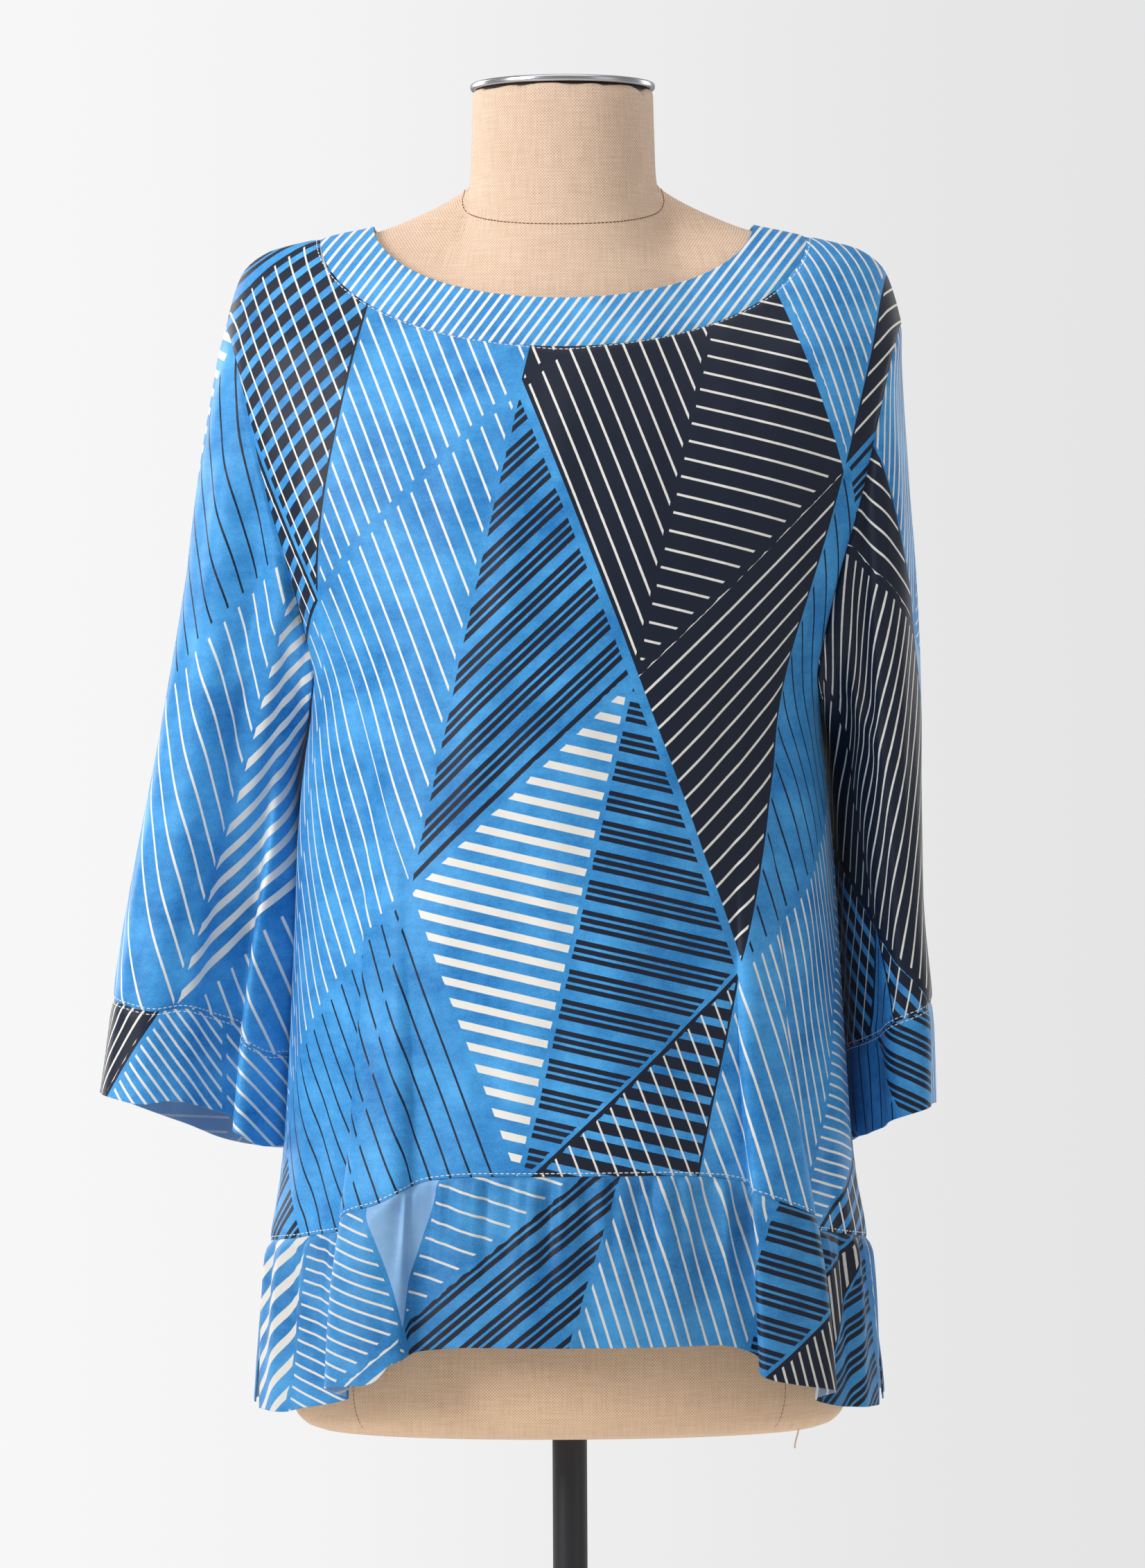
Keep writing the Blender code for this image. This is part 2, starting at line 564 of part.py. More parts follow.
def quad_normals(grid):
    """The unit normals of a grid's quads, out of the cloth."""
    normals = np.cross(grid[1:, 1:] - grid[:-1, :-1], grid[1:, :-1] - grid[:-1, 1:])
    return normals / np.maximum(np.linalg.norm(normals, axis=-1, keepdims=True), 1e-12)


def outer_offsets(grids):
    """From the middle of the cloth to its outer face, at every point of every piece. Pieces that
    meet share one direction at their seam, so their walls meet on a mitre."""

    def spot(point):
        return tuple(np.round(point, 6))

    quads_at = defaultdict(list)
    for grid in grids.values():
        normals = quad_normals(grid)
        for row, column in np.ndindex(normals.shape[:2]):
            for corner in (grid[row : row + 2, column : column + 2]).reshape(4, 3):
                quads_at[spot(corner)].append(normals[row, column])
    offsets = {}
    for name, grid in grids.items():
        offsets[name] = np.empty_like(grid)
        for place in np.ndindex(grid.shape[:2]):
            normals = np.array(quads_at[spot(grid[place])])
            direction = unit(normals.sum(axis=0))
            lean = max(MITRE_LIMIT, (normals @ direction).min())
            offsets[name][place] = direction * WALL / 2 / lean
    return offsets


def under_arm(columns):
    """1 under the arm and 0 at the shoulder, for each column of a sleeve."""
    return np.sin(np.linspace(0, math.pi, columns))[:, None] ** 6


def freed_under_arm(grid, offsets):
    """A sleeve's offsets, with its top ones under the arm its own and not shared with the body,
    because it is drawn back there to clear the sharp turn."""
    made = offsets.copy()
    own = outer_offsets({"sleeve": grid})["sleeve"]
    made[-1] += (own[-1] - offsets[-1]) * under_arm(grid.shape[1])
    return made


def drawn_back(grid, closed, top_pull):
    """The grid with its edges drawn back from the seams; a closed one has only two."""

    def towards(edge, inner, pull):
        away = inner - edge
        return edge + away / np.maximum(np.linalg.norm(away, axis=-1, keepdims=True), 1e-9) * pull

    made = grid.copy()
    made[0] = towards(grid[0], grid[1], SEAM_PULL)
    made[-1] = towards(grid[-1], grid[-2], top_pull)
    if not closed:
        made[:, 0] = towards(made[:, 0], made[:, 1], SEAM_PULL)
        made[:, -1] = towards(made[:, -1], made[:, -2], SEAM_PULL)
    return made


def clear_scene():
    for obj in list(bpy.data.objects):
        bpy.data.objects.remove(obj, do_unlink=True)


def material(name, colour, roughness, metallic=0.0):
    made = bpy.data.materials.new(name)
    made.use_nodes = True
    shader = made.node_tree.nodes["Principled BSDF"]
    shader.inputs["Base Color"].default_value = (*colour, 1.0)
    shader.inputs["Roughness"].default_value = roughness
    shader.inputs["Metallic"].default_value = metallic
    return made


def add_object(collection, name, bm, finish):
    mesh = bpy.data.meshes.new(name)
    bm.to_mesh(mesh)
    bm.free()
    obj = bpy.data.objects.new(name, mesh)
    obj.data.materials.append(finish)
    collection.objects.link(obj)
    return obj


def placed_grid(layers, closed):
    """A flat grid moved to its worn place. With two layers it is first extruded into a wall, and
    the second layer places the far side. A closed grid is joined where its end columns meet."""
    rows, columns = layers[0].shape[:2]
    bm = bmesh.new()
    bmesh.ops.create_grid(bm, x_segments=columns - 1, y_segments=rows - 1, size=1.0)
    if len(layers) == 2:
        made = bmesh.ops.extrude_face_region(bm, geom=bm.faces[:], use_keep_orig=True)
        far = [item for item in made["geom"] if isinstance(item, bmesh.types.BMVert)]
        bmesh.ops.translate(bm, verts=far, vec=(0, 0, -1))
    if closed:
        ends = [face for face in bm.faces if min(abs(vert.co.x) for vert in face.verts) > 0.9999]
        bmesh.ops.delete(bm, geom=ends, context="FACES_ONLY")
    for vert in bm.verts:
        column = round((vert.co.x + 1) / 2 * (columns - 1))
        row = round((vert.co.y + 1) / 2 * (rows - 1))
        vert.co = layers[round(-vert.co.z)][row, column]
    if closed:
        bmesh.ops.remove_doubles(bm, verts=bm.verts, dist=1e-6)
    for face in bm.faces:
        face.smooth = True
    return bm


def face_outwards(bm):
    bmesh.ops.recalc_face_normals(bm, faces=bm.faces)
    if bm.calc_volume(signed=True) < 0:
        bmesh.ops.reverse_faces(bm, faces=bm.faces)


def make_cloth(collection, finishes):
    """Every piece of the garment, as a wall of even thickness round its middle surface."""
    grids = body_grids() | sleeve_grids()
    offsets = outer_offsets(grids)
    for name, grid in grids.items():
        closed = name.startswith(("sleeve", "cuff"))
        top_pull = SEAM_PULL
        if name.startswith("sleeve"):
            offsets[name] = freed_under_arm(grid, offsets[name])
            under = under_arm(grid.shape[1])
            top_pull = ARMHOLE_PULL + (UNDERARM_PULL - ARMHOLE_PULL) * under
        middle = drawn_back(grid, closed, top_pull)
        layers = [middle + offsets[name], middle - offsets[name]]
        if name.startswith("hem_band"):
            layers = [straight_between(layer) for layer in layers]
        bm = placed_grid(layers, closed)
        face_outwards(bm)
        finish = finishes["neckband" if name.startswith("neckband") else "print"]
        add_object(collection, name, bm, finish)


def make_form(collection, finishes):
    """The dress form: a loft of level sections, closed at the hip and the top of the neck."""
    turns = np.linspace(0, math.tau, FORM_COLUMNS + 1)
    rings = []
    for row in FORM_SECTIONS:
        section = form_section(row.height)
        half_width = max(section.half_width, section.round_half_width)
        ring = []
        for turn in turns:
            x = half_width * math.cos(turn)
            side = BACK if math.sin(turn) >= 0 else FRONT
            on_axis = abs(math.sin(turn)) < 1e-9
            ring.append([x, 0.0 if on_axis else depth_at(section, x, side), row.height])
        rings.append(ring)
    bm = placed_grid([np.array(rings)], closed=True)
    bmesh.ops.holes_fill(bm, edges=[edge for edge in bm.edges if edge.is_boundary])
    face_outwards(bm)
    add_object(collection, "form", bm, finishes["linen"])


def make_disc(collection, name, radius, bottom, thickness, finish, bevel, segments):
    """A flat round plate or bar on the Z axis, with bevelled edges."""
    bm = bmesh.new()
    bmesh.ops.create_cone(
        bm, cap_ends=True, segments=segments, radius1=radius, radius2=radius, depth=thickness
    )
    bmesh.ops.translate(bm, verts=bm.verts, vec=(0, 0, bottom + thickness / 2))
    obj = add_object(collection, name, bm, finish)
    edge = obj.modifiers.new("Edge", "BEVEL")
    edge.width = bevel
    edge.segments = 1
    edge.limit_method = "ANGLE"


def make_stand(collection, finishes):
    steel, black = finishes["steel"], finishes["black"]
    pole_bottom = BASE_THICKNESS + REST_GAP
    pole_length = POLE_TOP - pole_bottom
    make_disc(collection, "neck_cap", CAP_RADIUS, CAP_BOTTOM, CAP_THICKNESS, steel, 0.0010, 48)
    make_disc(collection, "base", BASE_RADIUS, 0.0, BASE_THICKNESS, black, 0.0025, 48)
    make_disc(collection, "pole", POLE_RADIUS, pole_bottom, pole_length, black, 0.0006, 24)


def main():
    clear_scene()
    collection = bpy.data.collections.new("tunic_on_dress_form")
    bpy.context.scene.collection.children.link(collection)
    finishes = {
        "print": material("printed_cloth", PRINT_BLUE, 0.6),
        "neckband": material("neckband_cloth", BAND_BLUE, 0.6),
        "linen": material("linen", LINEN, 0.85),
        "steel": material("steel", STEEL, 0.3, 1.0),
        "black": material("black_paint", BLACK_PAINT, 0.4),
    }
    make_cloth(collection, finishes)
    make_form(collection, finishes)
    make_stand(collection, finishes)


main()
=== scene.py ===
"""Looks of a printed tunic top with three-quarter sleeves, worn by a limbless linen dress form.

Metres, +Z up, the floor at z = 0 and the pole on the Z axis. The wearer faces -Y, and the
wearer's left is +X.
"""

import math
from collections import namedtuple
from contextlib import contextmanager

import bpy
import numpy as np
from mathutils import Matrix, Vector


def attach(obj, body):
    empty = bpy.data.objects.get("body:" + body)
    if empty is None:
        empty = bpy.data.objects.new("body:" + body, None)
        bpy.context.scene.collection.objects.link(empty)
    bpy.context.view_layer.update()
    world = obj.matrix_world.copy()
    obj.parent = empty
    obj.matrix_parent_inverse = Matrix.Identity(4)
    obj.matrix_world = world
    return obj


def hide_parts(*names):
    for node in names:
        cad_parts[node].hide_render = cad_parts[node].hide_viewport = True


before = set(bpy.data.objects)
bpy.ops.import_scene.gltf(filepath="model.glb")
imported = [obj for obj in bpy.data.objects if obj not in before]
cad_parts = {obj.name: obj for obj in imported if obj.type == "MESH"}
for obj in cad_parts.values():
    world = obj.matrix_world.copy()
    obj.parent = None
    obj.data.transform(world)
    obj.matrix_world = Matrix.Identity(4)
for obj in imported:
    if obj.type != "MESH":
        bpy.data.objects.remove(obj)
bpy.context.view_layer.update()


def rows_of(kind, *rows):
    return [kind(*row) for row in rows]


def in_metres(kind, *rows):
    """Rows of a kind from rows of millimetres."""
    return rows_of(kind, *(tuple(value / 1000 for value in row) for row in rows))


# Cloth
CLOTH = 0.0009  # thickness of the cloth
JOINED_WITHIN = 0.00001  # points closer than this are one
SEAM_PULL = 0.00012  # each side of a seam is drawn back by this
ARMHOLE_PULL = 0.0004
UNDERARM_PULL = 0.0026
SEAM_DIP = 0.0010  # cloth is drawn in at a seam
SEAM_DIP_REACH = 0.0027
EDGE_ROWS = (0.0006, 0.0013, 0.0022, 0.0036)  # extra rows of the mesh beside an edge
CALM_BESIDE_SEAM = (0.0005, 0.016)  # creases fade out over this distance from a seam
# Each edge of a grid of points: its axis, its own row or column, and the one beside it
EDGES = {"bottom": (0, 0, 1), "top": (0, -1, -2), "left": (1, 0, 1), "right": (1, -1, -2)}
FRONT, BACK = -1, 1  # the sign of Y on each side of the body
WEARER_LEFT, WEARER_RIGHT = 1, -1  # the sign of X

# Heights above the floor
HEM_SIDE = 0.665
SEAM_SIDE = 0.765
UNDERARM = 1.104
SHOULDER_TIP = 1.3367
NECK_SEAM_TOP = 1.3915
NECK_EDGE_TOP = 1.3988

# How much higher the hem and the hem-band seam are at the middle than at the sides. In front they
# are level at the middle and step down at the two flutes.
RISE_POWER = 1.6
RiseRow = namedtuple("RiseRow", "across seam hem")
FRONT_RISE = rows_of(
    RiseRow,
    (-1, 0, 0),
    (-0.87, 0.06, 0.01),
    (-0.715, 0.15, 0.03),
    (-0.62, 0.216, 0.11),
    (-0.465, 0.35, 0.29),
    (-0.43, 0.54, 0.43),
    (-0.39, 0.7, 0.52),
    (-0.365, 0.8, 0.78),
    (-0.29, 0.94, 0.95),
    (-0.18, 0.99, 1),
    (0.18, 0.995, 1),
    (0.3, 0.965, 0.998),
    (0.38, 0.9, 0.88),
    (0.443, 0.735, 0.55),
    (0.51, 0.45, 0.34),
    (0.566, 0.284, 0.176),
    (0.684, 0.19, 0.06),
    (0.87, 0.07, 0.01),
    (1, 0, 0),
)
HEM_RISE = {FRONT: 0.046, BACK: 0.030}
SEAM_RISE = {FRONT: 0.049, BACK: 0.034}

# The neckline, an ellipse seen from the front: half width at the shoulder, and drop to the middle
NECK_SEAM_HALF_WIDTH = 0.1515
NECK_EDGE_HALF_WIDTH = 0.118
NECK_SEAM_DROP = {FRONT: 0.0745, BACK: 0.0400}
NECK_EDGE_DROP = {FRONT: 0.0515, BACK: 0.0130}
DIP_POWER = 5
DIP_SHARPENING = 12

# Side slits: the front band turns in and the back band swings out towards the hem
SLIT_TUCK = {FRONT: 0.018, BACK: 0.001}
SLIT_REACH = 6

# How many columns and rows of quads each piece has, and about how long a piece is along its rows
COLUMNS = {FRONT: 250, BACK: 190}
BODY_LENGTH, NECKBAND_LENGTH, BAND_LENGTH = 0.63, 0.030, 0.100
SLEEVE_LENGTH, CUFF_LENGTH = 0.42, 0.06
ROWS_BELOW_UNDERARM = 90
ROWS_ARMHOLE = 60
ROWS_SHOULDER = 20
ROWS_BAND = 34
ROWS_NECKBAND = 12
SLEEVE_COLUMNS = 150
ROWS_SLEEVE = 150
ROWS_CUFF = 26
FORM_COLUMNS = 160
FORM_ROWS_EACH = 6  # rows between two rows of the form's table

# Shape of a level section: an oval for trunk and shoulders, joined to the round of the neck
OVAL_POWER = 2.15
JOIN_POWER = 6
NO_ROUND = (0.020, 0.010, 0.010)  # below the shoulders the neck's round lies inside the oval
Section = namedtuple(
    "Section",
    "height half_width front back round_half_width round_front round_back",
    defaults=NO_ROUND,
)

CLOTH_SECTIONS = in_metres(
    Section,
    (655, 198.5, 152, 150),
    (690, 195.5, 150, 147),
    (730, 191.5, 148, 143),
    (766, 186.5, 146, 139),
    (810, 178.5, 144, 134),
    (903, 172, 141, 127),
    (977, 168.5, 139, 123),
    (1050, 162.5, 138, 120),
    (1104, 157, 137, 118),
    (1117, 159.5, 137, 118, 20, 20, 20),
    (1140, 167, 135, 117, 30, 30, 30),
    (1180, 185, 130, 115, 50, 50, 50),
    (1225, 203, 120, 112, 70, 75, 75),
    (1270, 213, 106, 107, 90, 90, 90),
    (1315, 215.5, 87.5, 97, 102, 86, 94),
    (1336.7, 210.5, 76, 88.5, 98, 81.5, 91),
    (1353, 206.5, 66.5, 79.5, 91, 77.5, 87),
    (1370, 200, 55.5, 67.5, 83, 73.5, 82.5),
    (1382.5, 185, 45, 56, 76, 70, 78),
    (1391.5, 151.5, 37, 46, 71, 67.5, 74.5),
    (1398.8, 118, 32.5, 41, 68, 65.5, 71.5),
    (1406, 98, 30, 38, 66, 64, 69),
)
SECTION_SOFTNESS = 0.030  # sections are averaged over this height below the shoulders
SOFT_BELOW = 1.24

FORM_SECTIONS = in_metres(
    Section,
    (650, 156, 93, 102),
    (653, 164, 100, 109.5),
    (660, 170.5, 106, 115.5),
    (674, 174.5, 110, 119.5),
    (700, 175.5, 112, 121.5),
    (760, 173.5, 113, 122),
    (830, 164, 109, 115),
    (910, 141, 98, 98),
    (985, 124, 88, 81),
    (1050, 132, 98, 84),
    (1110, 143, 119, 93),
    (1155, 151, 127.5, 100, 30, 30, 30),
    (1200, 159, 120.5, 105, 50, 50, 50),
    (1250, 172, 106.5, 103, 80, 80, 80),
    (1300, 187, 87.5, 94.5, 100, 84, 91),
    (1332.5, 196.5, 72.5, 84.5, 95.5, 78.5, 87.5),
    (1349.5, 198, 63, 75.5, 88.5, 74.5, 83.5),
    (1366.2, 194, 52, 63.5, 80.5, 70.5, 78.5),
    (1378.7, 178.5, 41.3, 51.8, 73.5, 67, 74),
    (1388.3, 147.8, 33.4, 41.9, 68.7, 64.7, 70.7),
    (1395.6, 115, 29, 37, 65.5, 62.6, 67.6),
    (1403, 95.5, 27, 34.5, 63, 61, 64.7),
    (1411.5, 77.2, 26, 33, 60.8, 59.7, 62),
    (1420, 63, 25, 31, 59.2, 58.8, 60),
    (1432, 50, 20, 24, 57.8, 57.7, 58),
    (1450, 30, 10, 10, 57.2, 57.2, 57.2),
    (1477, 30, 10, 10, 56.5, 56.5, 56.5),
)

# Half width of the garment at the armhole seam, from the underarm up to the shoulder tip
ArmholeRow = namedtuple("ArmholeRow", "height half_width")
ARMHOLE = in_metres(
    ArmholeRow,
    (1104, 157),
    (1115, 156.2),
    (1140, 160.5),
    (1180, 170),
    (1225, 183),
    (1270, 193.5),
    (1315, 204),
    (1336.7, 210.5),
)
UNDERARM_BLEND = 0.03
ARMHOLE_CUT = 0.18
ARMHOLE_CUT_POWER = 0.7

# Large hanging folds of the body. Places and widths are shares of a half panel, -1 and 1 being the
# side seams. A spread pushes a side of the ridge over the cloth beside it.
Fold = namedtuple("Fold", "at_hem at_start half_width height spread_minus spread_plus start")
FOLDS = {
    FRONT: rows_of(
        Fold,
        (-0.39, -0.47, 0.056, 0.0185, 2.6, 0.8, 1.09),
        (0.474, 0.48, 0.053, 0.02, 1.95, 1.9, 1.11),
        (0.02, 0.06, 0.2, 0.0045, 0, 0, 0.96),
        (-0.77, -0.76, 0.085, 0.006, 0.4, 0.4, 0.98),
        (0.8, 0.78, 0.08, 0.0055, 0.3, 0.3, 0.95),
    ),
    BACK: rows_of(
        Fold,
        (-0.54, -0.46, 0.09, 0.015, 0.9, 1.15, 1.12),
        (0.48, 0.4, 0.1, 0.0165, 1.2, 0.9, 1.14),
        (-0.06, -0.02, 0.14, 0.009, 0.5, 0.5, 1.04),
        (0.82, 0.78, 0.08, 0.006, 0.3, 0.3, 1),
    ),
}
OVERLAPPING = 1.0  # a spread over this turns the cloth back on itself

# Gathers of the hem bands
GATHERS = {FRONT: 19, BACK: 17}
GATHER_HEIGHT = 0.0021
GATHER_DRIFT = 0.32
GATHER_DRIFT_TURNS = 2.6
CALMER_SIDES = (0.42, 0.62)  # shares of a half panel, past which the fine gathers are weaker
# Finer gathers between the large ones: turns of a half panel, height and phase
FINE_GATHERS = [(29.0, 0.0013, 0.4), (47.0, 0.0011, 1.9), (71.0, 0.0006, 3.1)]

# A sleeve's sections, from the armhole to the cuff seam and the cuff's edge
SleeveRow = namedtuple(
    "SleeveRow",
    "outer_height outer outer_back inner_height inner inner_back front back tuck",
)
SLEEVES = {
    WEARER_LEFT: in_metres(
        SleeveRow,
        (1336.7, 210.5, 0, 1104, 157, 0, 60, 60, 0),
        (1318, 210.4, 1, 1094, 159, 6, 62, 65, 0),
        (1285, 211.7, 3, 1084, 159.5, 18, 64, 68, 2),
        (1240, 215, 5, 1072, 160, 30, 66, 70, 4),
        (1190, 218.5, 7, 1056, 160, 40, 68, 70, 6),
        (1140, 220.5, 8, 1032, 159, 48, 70, 70, 8),
        (1090, 221.8, 9, 1003, 160, 52, 72, 68, 10),
        (1035, 222.4, 10, 970, 162, 55, 73, 67, 10),
        (980, 223.3, 10, 935, 164.5, 58, 74, 66, 10),
        (913, 227.8, 10, 886, 167.5, 60, 75, 65, 10),
        (850, 228.9, 10, 829, 169, 62, 76, 66, 10),
    ),
    WEARER_RIGHT: in_metres(
        SleeveRow,
        (1336.7, 210.5, 0, 1104, 157, 0, 60, 60, 0),
        (1318, 215.5, 1, 1094, 159, 6, 61, 64, 0),
        (1285, 221, 2, 1084, 159.5, 18, 61, 66, 0),
        (1240, 228, 3, 1072, 160, 31, 60, 66, 0),
        (1190, 234.5, 4, 1056, 160, 43, 58, 64, 0),
        (1140, 242.5, 5, 1032, 160, 52, 56, 60, 0),
        (1090, 251.5, 6, 1003, 160, 56, 55, 56, 0),
        (1035, 261.5, 6, 970, 161, 60, 55, 54, 0),
        (980, 273.2, 6, 935, 163, 63, 55, 52, 0),
        (917, 283.8, 6, 886, 166, 66, 55, 50, 0),
        (859, 292.4, 6, 829, 169, 68, 56, 50, 0),
    ),
}
CUFF_SEAM_SHARE = 0.9
LIFT_POWER = 1.6
BACK_DROP = 0.10
MELTED_AT = 0.36
BODY_ROOM = 0.0048
ROOM_FADE = 0.040
ROOM_SOFTNESS = 0.0012

# Folds along a sleeve: degrees round it from the outer point by way of the front, and shares of
# its length for where the fold starts and is full. The lean pushes its ridge round the sleeve,
# and its hem hangs lower by the drop.
SleeveFold = namedtuple("SleeveFold", "around half_width height lean drop start full")
SLEEVE_FOLDS = {
    WEARER_LEFT: rows_of(
        SleeveFold,
        (62, 22, 0.0055, 0, 0, 0.02, 0.25),
        (118, 18, -0.0055, 0, 0, 0.04, 0.3),
        (235, 24, 0.005, 0, 0.003, 0.05, 0.4),
        (300, 24, -0.0045, 0, 0, 0.1, 0.5),
    ),
    WEARER_RIGHT: rows_of(
        SleeveFold,
        (44, 20, 0.005, 0, 0, 0.02, 0.25),
        (98, 28, 0, 0, -0.011, 0.35, 0.95),
        (104, 14, -0.006, 0, 0, 0.2, 0.9),
        (130, 12, 0, 0, 0.003, 0.42, 0.95),
        (141, 20, 0.0125, -0.031, 0.001, 0.42, 0.95),
        (240, 26, 0.0055, 0, 0.003, 0.05, 0.5),
        (305, 24, -0.005, 0, 0, 0.1, 0.6),
    ),
}
STEEP_LEAN = 0.010  # a lean over this turns the cloth back on itself

# Creases placed one by one. A crease runs between two points, bowed to its left by the bow, and is
# a ridge where its height is positive. On the body the points are X and Z as seen from the front.
# On a sleeve they are degrees round it and the height above the floor. All but degrees are
# millimetres.
Crease = namedtuple("Crease", "from_a from_b to_a to_b bow half_width height")
CREASES = {
    "front": [
        (-163, 1232, -142, 1120, 6, 9, 3),
        (-150, 1200, -118, 1085, 4, 11, -2.6),
        (-168, 1180, -128, 1130, -4, 8, 2.2),
        (-140, 1115, -152, 960, -6, 13, 2.6),
        (-118, 1070, -128, 880, 4, 14, -2.2),
        (-92, 1010, -110, 820, 4, 12, 1.8),
        (-30, 1000, -52, 830, 3, 17, -1.5),
        (26, 980, 34, 825, -2, 16, 1.4),
        (75, 1030, 88, 830, -4, 15, -1.8),
        (150, 1200, 122, 1090, -5, 10, 2.6),
        (166, 1170, 132, 1060, -6, 11, -2.6),
        (130, 1075, 142, 900, 5, 12, 2.2),
        (158, 1020, 160, 850, 2, 11, -2),
        (-175, 1330, -120, 1290, 8, 14, 1.4),
        (172, 1325, 122, 1285, -8, 14, 1.4),
        (-60, 1245, 50, 1236, -12, 23, 1.2),
    ],
    "back": [
        (-165, 1225, -130, 1110, 6, 10, 3),
        (-145, 1190, -105, 1070, 4, 12, -2.6),
        (-60, 1180, -80, 860, 6, 15, 2.2),
        (-10, 1100, 6, 850, -4, 15, -2.2),
        (55, 1200, 70, 870, -5, 14, 2.4),
        (110, 1120, 128, 850, -4, 13, -2.2),
        (160, 1215, 126, 1100, -6, 10, 2.8),
        (-130, 1080, -145, 880, 4, 12, 2),
        (-70, 1320, 60, 1318, 10, 20, 1.2),
    ],
    "sleeve_left": [
        (60, 1300, 78, 1080, 10, 11, 3),
        (92, 1270, 96, 1020, -6, 10, -3.4),
        (112, 1180, 92, 960, 6, 10, 2.8),
        (40, 1180, 52, 930, 6, 11, -2.2),
        (128, 1130, 60, 1060, 10, 9, 2.2),
        (76, 1060, 80, 900, 3, 9, -2.6),
        (20, 1240, 30, 1000, 4, 12, 1.8),
        (230, 1270, 250, 1020, -6, 12, 3.2),
        (270, 1210, 280, 940, 5, 12, -2.8),
        (310, 1160, 300, 920, 4, 11, 2.6),
        (205, 1150, 262, 1070, -6, 9, 2.2),
    ],
    "sleeve_right": [
        (58, 1300, 66, 1060, -6, 11, 3),
        (80, 1270, 84, 1000, 4, 9, -3.6),
        (104, 1230, 98, 1010, 6, 9, 3.2),
        (126, 1170, 70, 1090, -8, 9, 2.4),
        (36, 1150, 44, 930, -4, 12, -2),
        (18, 1250, 16, 1000, 3, 13, 1.6),
        (90, 1020, 88, 900, 2, 8, -2.4),
        (232, 1260, 250, 1000, 6, 12, 3.2),
        (275, 1200, 286, 940, -4, 12, -2.8),
        (312, 1150, 306, 930, -4, 11, 2.4),
        (208, 1160, 260, 1090, 6, 9, 2.2),
    ],
}
SLEEVE_GIRTH = 0.36  # turns a sleeve's degrees into metres

# Slow unevenness of hanging cloth: waves per metre along X, Y and Z, height and phase
WAVES = [
    (11, 7, 2.1, 0.00050, 0.3),
    (-17, 12, 3.4, 0.00040, 1.7),
    (26, -19, 4.2, 0.00028, 4.4),
    (-35, -23, 6.5, 0.00020, 2.6),
]
CALM_ABOVE = (1.22, 1.34)  # where cloth that lies on the shoulders is less uneven

# Where the body's cloth lies on its flat cut is read from a table of places across and up
PLACE_STEP, HEIGHT_STEP = 0.005, 0.003
PLACES_REACH, HEIGHTS_TOP = 0.2151, 1.402
ON_LEVEL_FROM = (1.06, 1.16)  # above the folds, the print follows the level sections
UP_AT = 0.12  # how far from the middle the cloth's length is measured up the body

# Flat cut of each piece: width, length and area in metres, and the place on the printed cloth that
# its own places are counted from, with how many degrees it was turned there
Cut = namedtuple("Cut", "width length area print_x print_y print_turn")
CUTS = {
    "front": Cut(0.56, 0.66, 0.290, 0.31, 0.10, 0),
    "back": Cut(0.54, 0.64, 0.290, 1.70, 0.55, 0),
    "neckband_front": Cut(0.34, 0.10, 0.0137, 0.20, 2.40, 0),
    "neckband_back": Cut(0.30, 0.08, 0.0142, 0.90, 2.40, 0),
    "hem_band_front": Cut(0.60, 0.16, 0.068, 4.30, 1.90, 4),
    "hem_band_back": Cut(0.60, 0.14, 0.064, 1.55, 1.30, -3),
    "sleeve_left": Cut(0.42, 0.44, 0.125, 6.10, 2.35, 3),
    "sleeve_right": Cut(0.42, 0.46, 0.125, 4.90, 2.35, -4),
    "cuff_left": Cut(0.40, 0.065, 0.025, 2.95, 1.75, 24),
    "cuff_right": Cut(0.40, 0.065, 0.025, 3.80, 2.05, -18),
}

# Topstitching
STITCH_LENGTH = 0.0027
STITCH_PITCH = 0.0034
STITCH_WIDTH = 0.00075
STITCH_HEIGHT = 0.00055
TOPSTITCH_AWAY = 0.0021  # from the seam
CUFF_STITCH_AWAY = 0.0019
FORM_STITCH = (0.0024, 0.00075, 0.0007)
FORM_PITCH = 0.0026
LOOSE_THREAD = (0.1400, -0.0520, 0.6465)  # its middle, under the form's edge
LOOSE_THREAD_LENGTH = 0.0135

# The form and its stand
NECK_SEAM_FRONT = 1.3945
NECK_SEAM_SIDE = 1.4215
NECK_SEAM_BACK = 1.4120
PRINCESS_AT = 0.757  # share of the half width
SCALLOP_LOW, SCALLOP_HIGH = 1.4775, 1.4822
PANEL_SEAM_BOTTOM, PANEL_SEAM_TOP = 0.6515, 1.02
# How the linen's edge turns in under the neck plate: radius, and how far below the edge
TURNED_IN = ((0.0565, 0.0022), (0.0562, 0.0009), (0.0555, 0.0), (0.0546, -0.0001))
CORE_RADIUS, CORE_BOTTOM, CORE_TOP = 0.0542, 1.4600, 1.4830
CAP_RADIUS, CAP_BOTTOM, CAP_TOP = 0.0577, 1.4832, 1.4874
POLE_RADIUS, POLE_BOTTOM, POLE_TOP = 0.0108, 0.0103, 0.6497
BASE_RADIUS, BASE_TOP = 0.170, 0.010
PAINT = "black_paint"

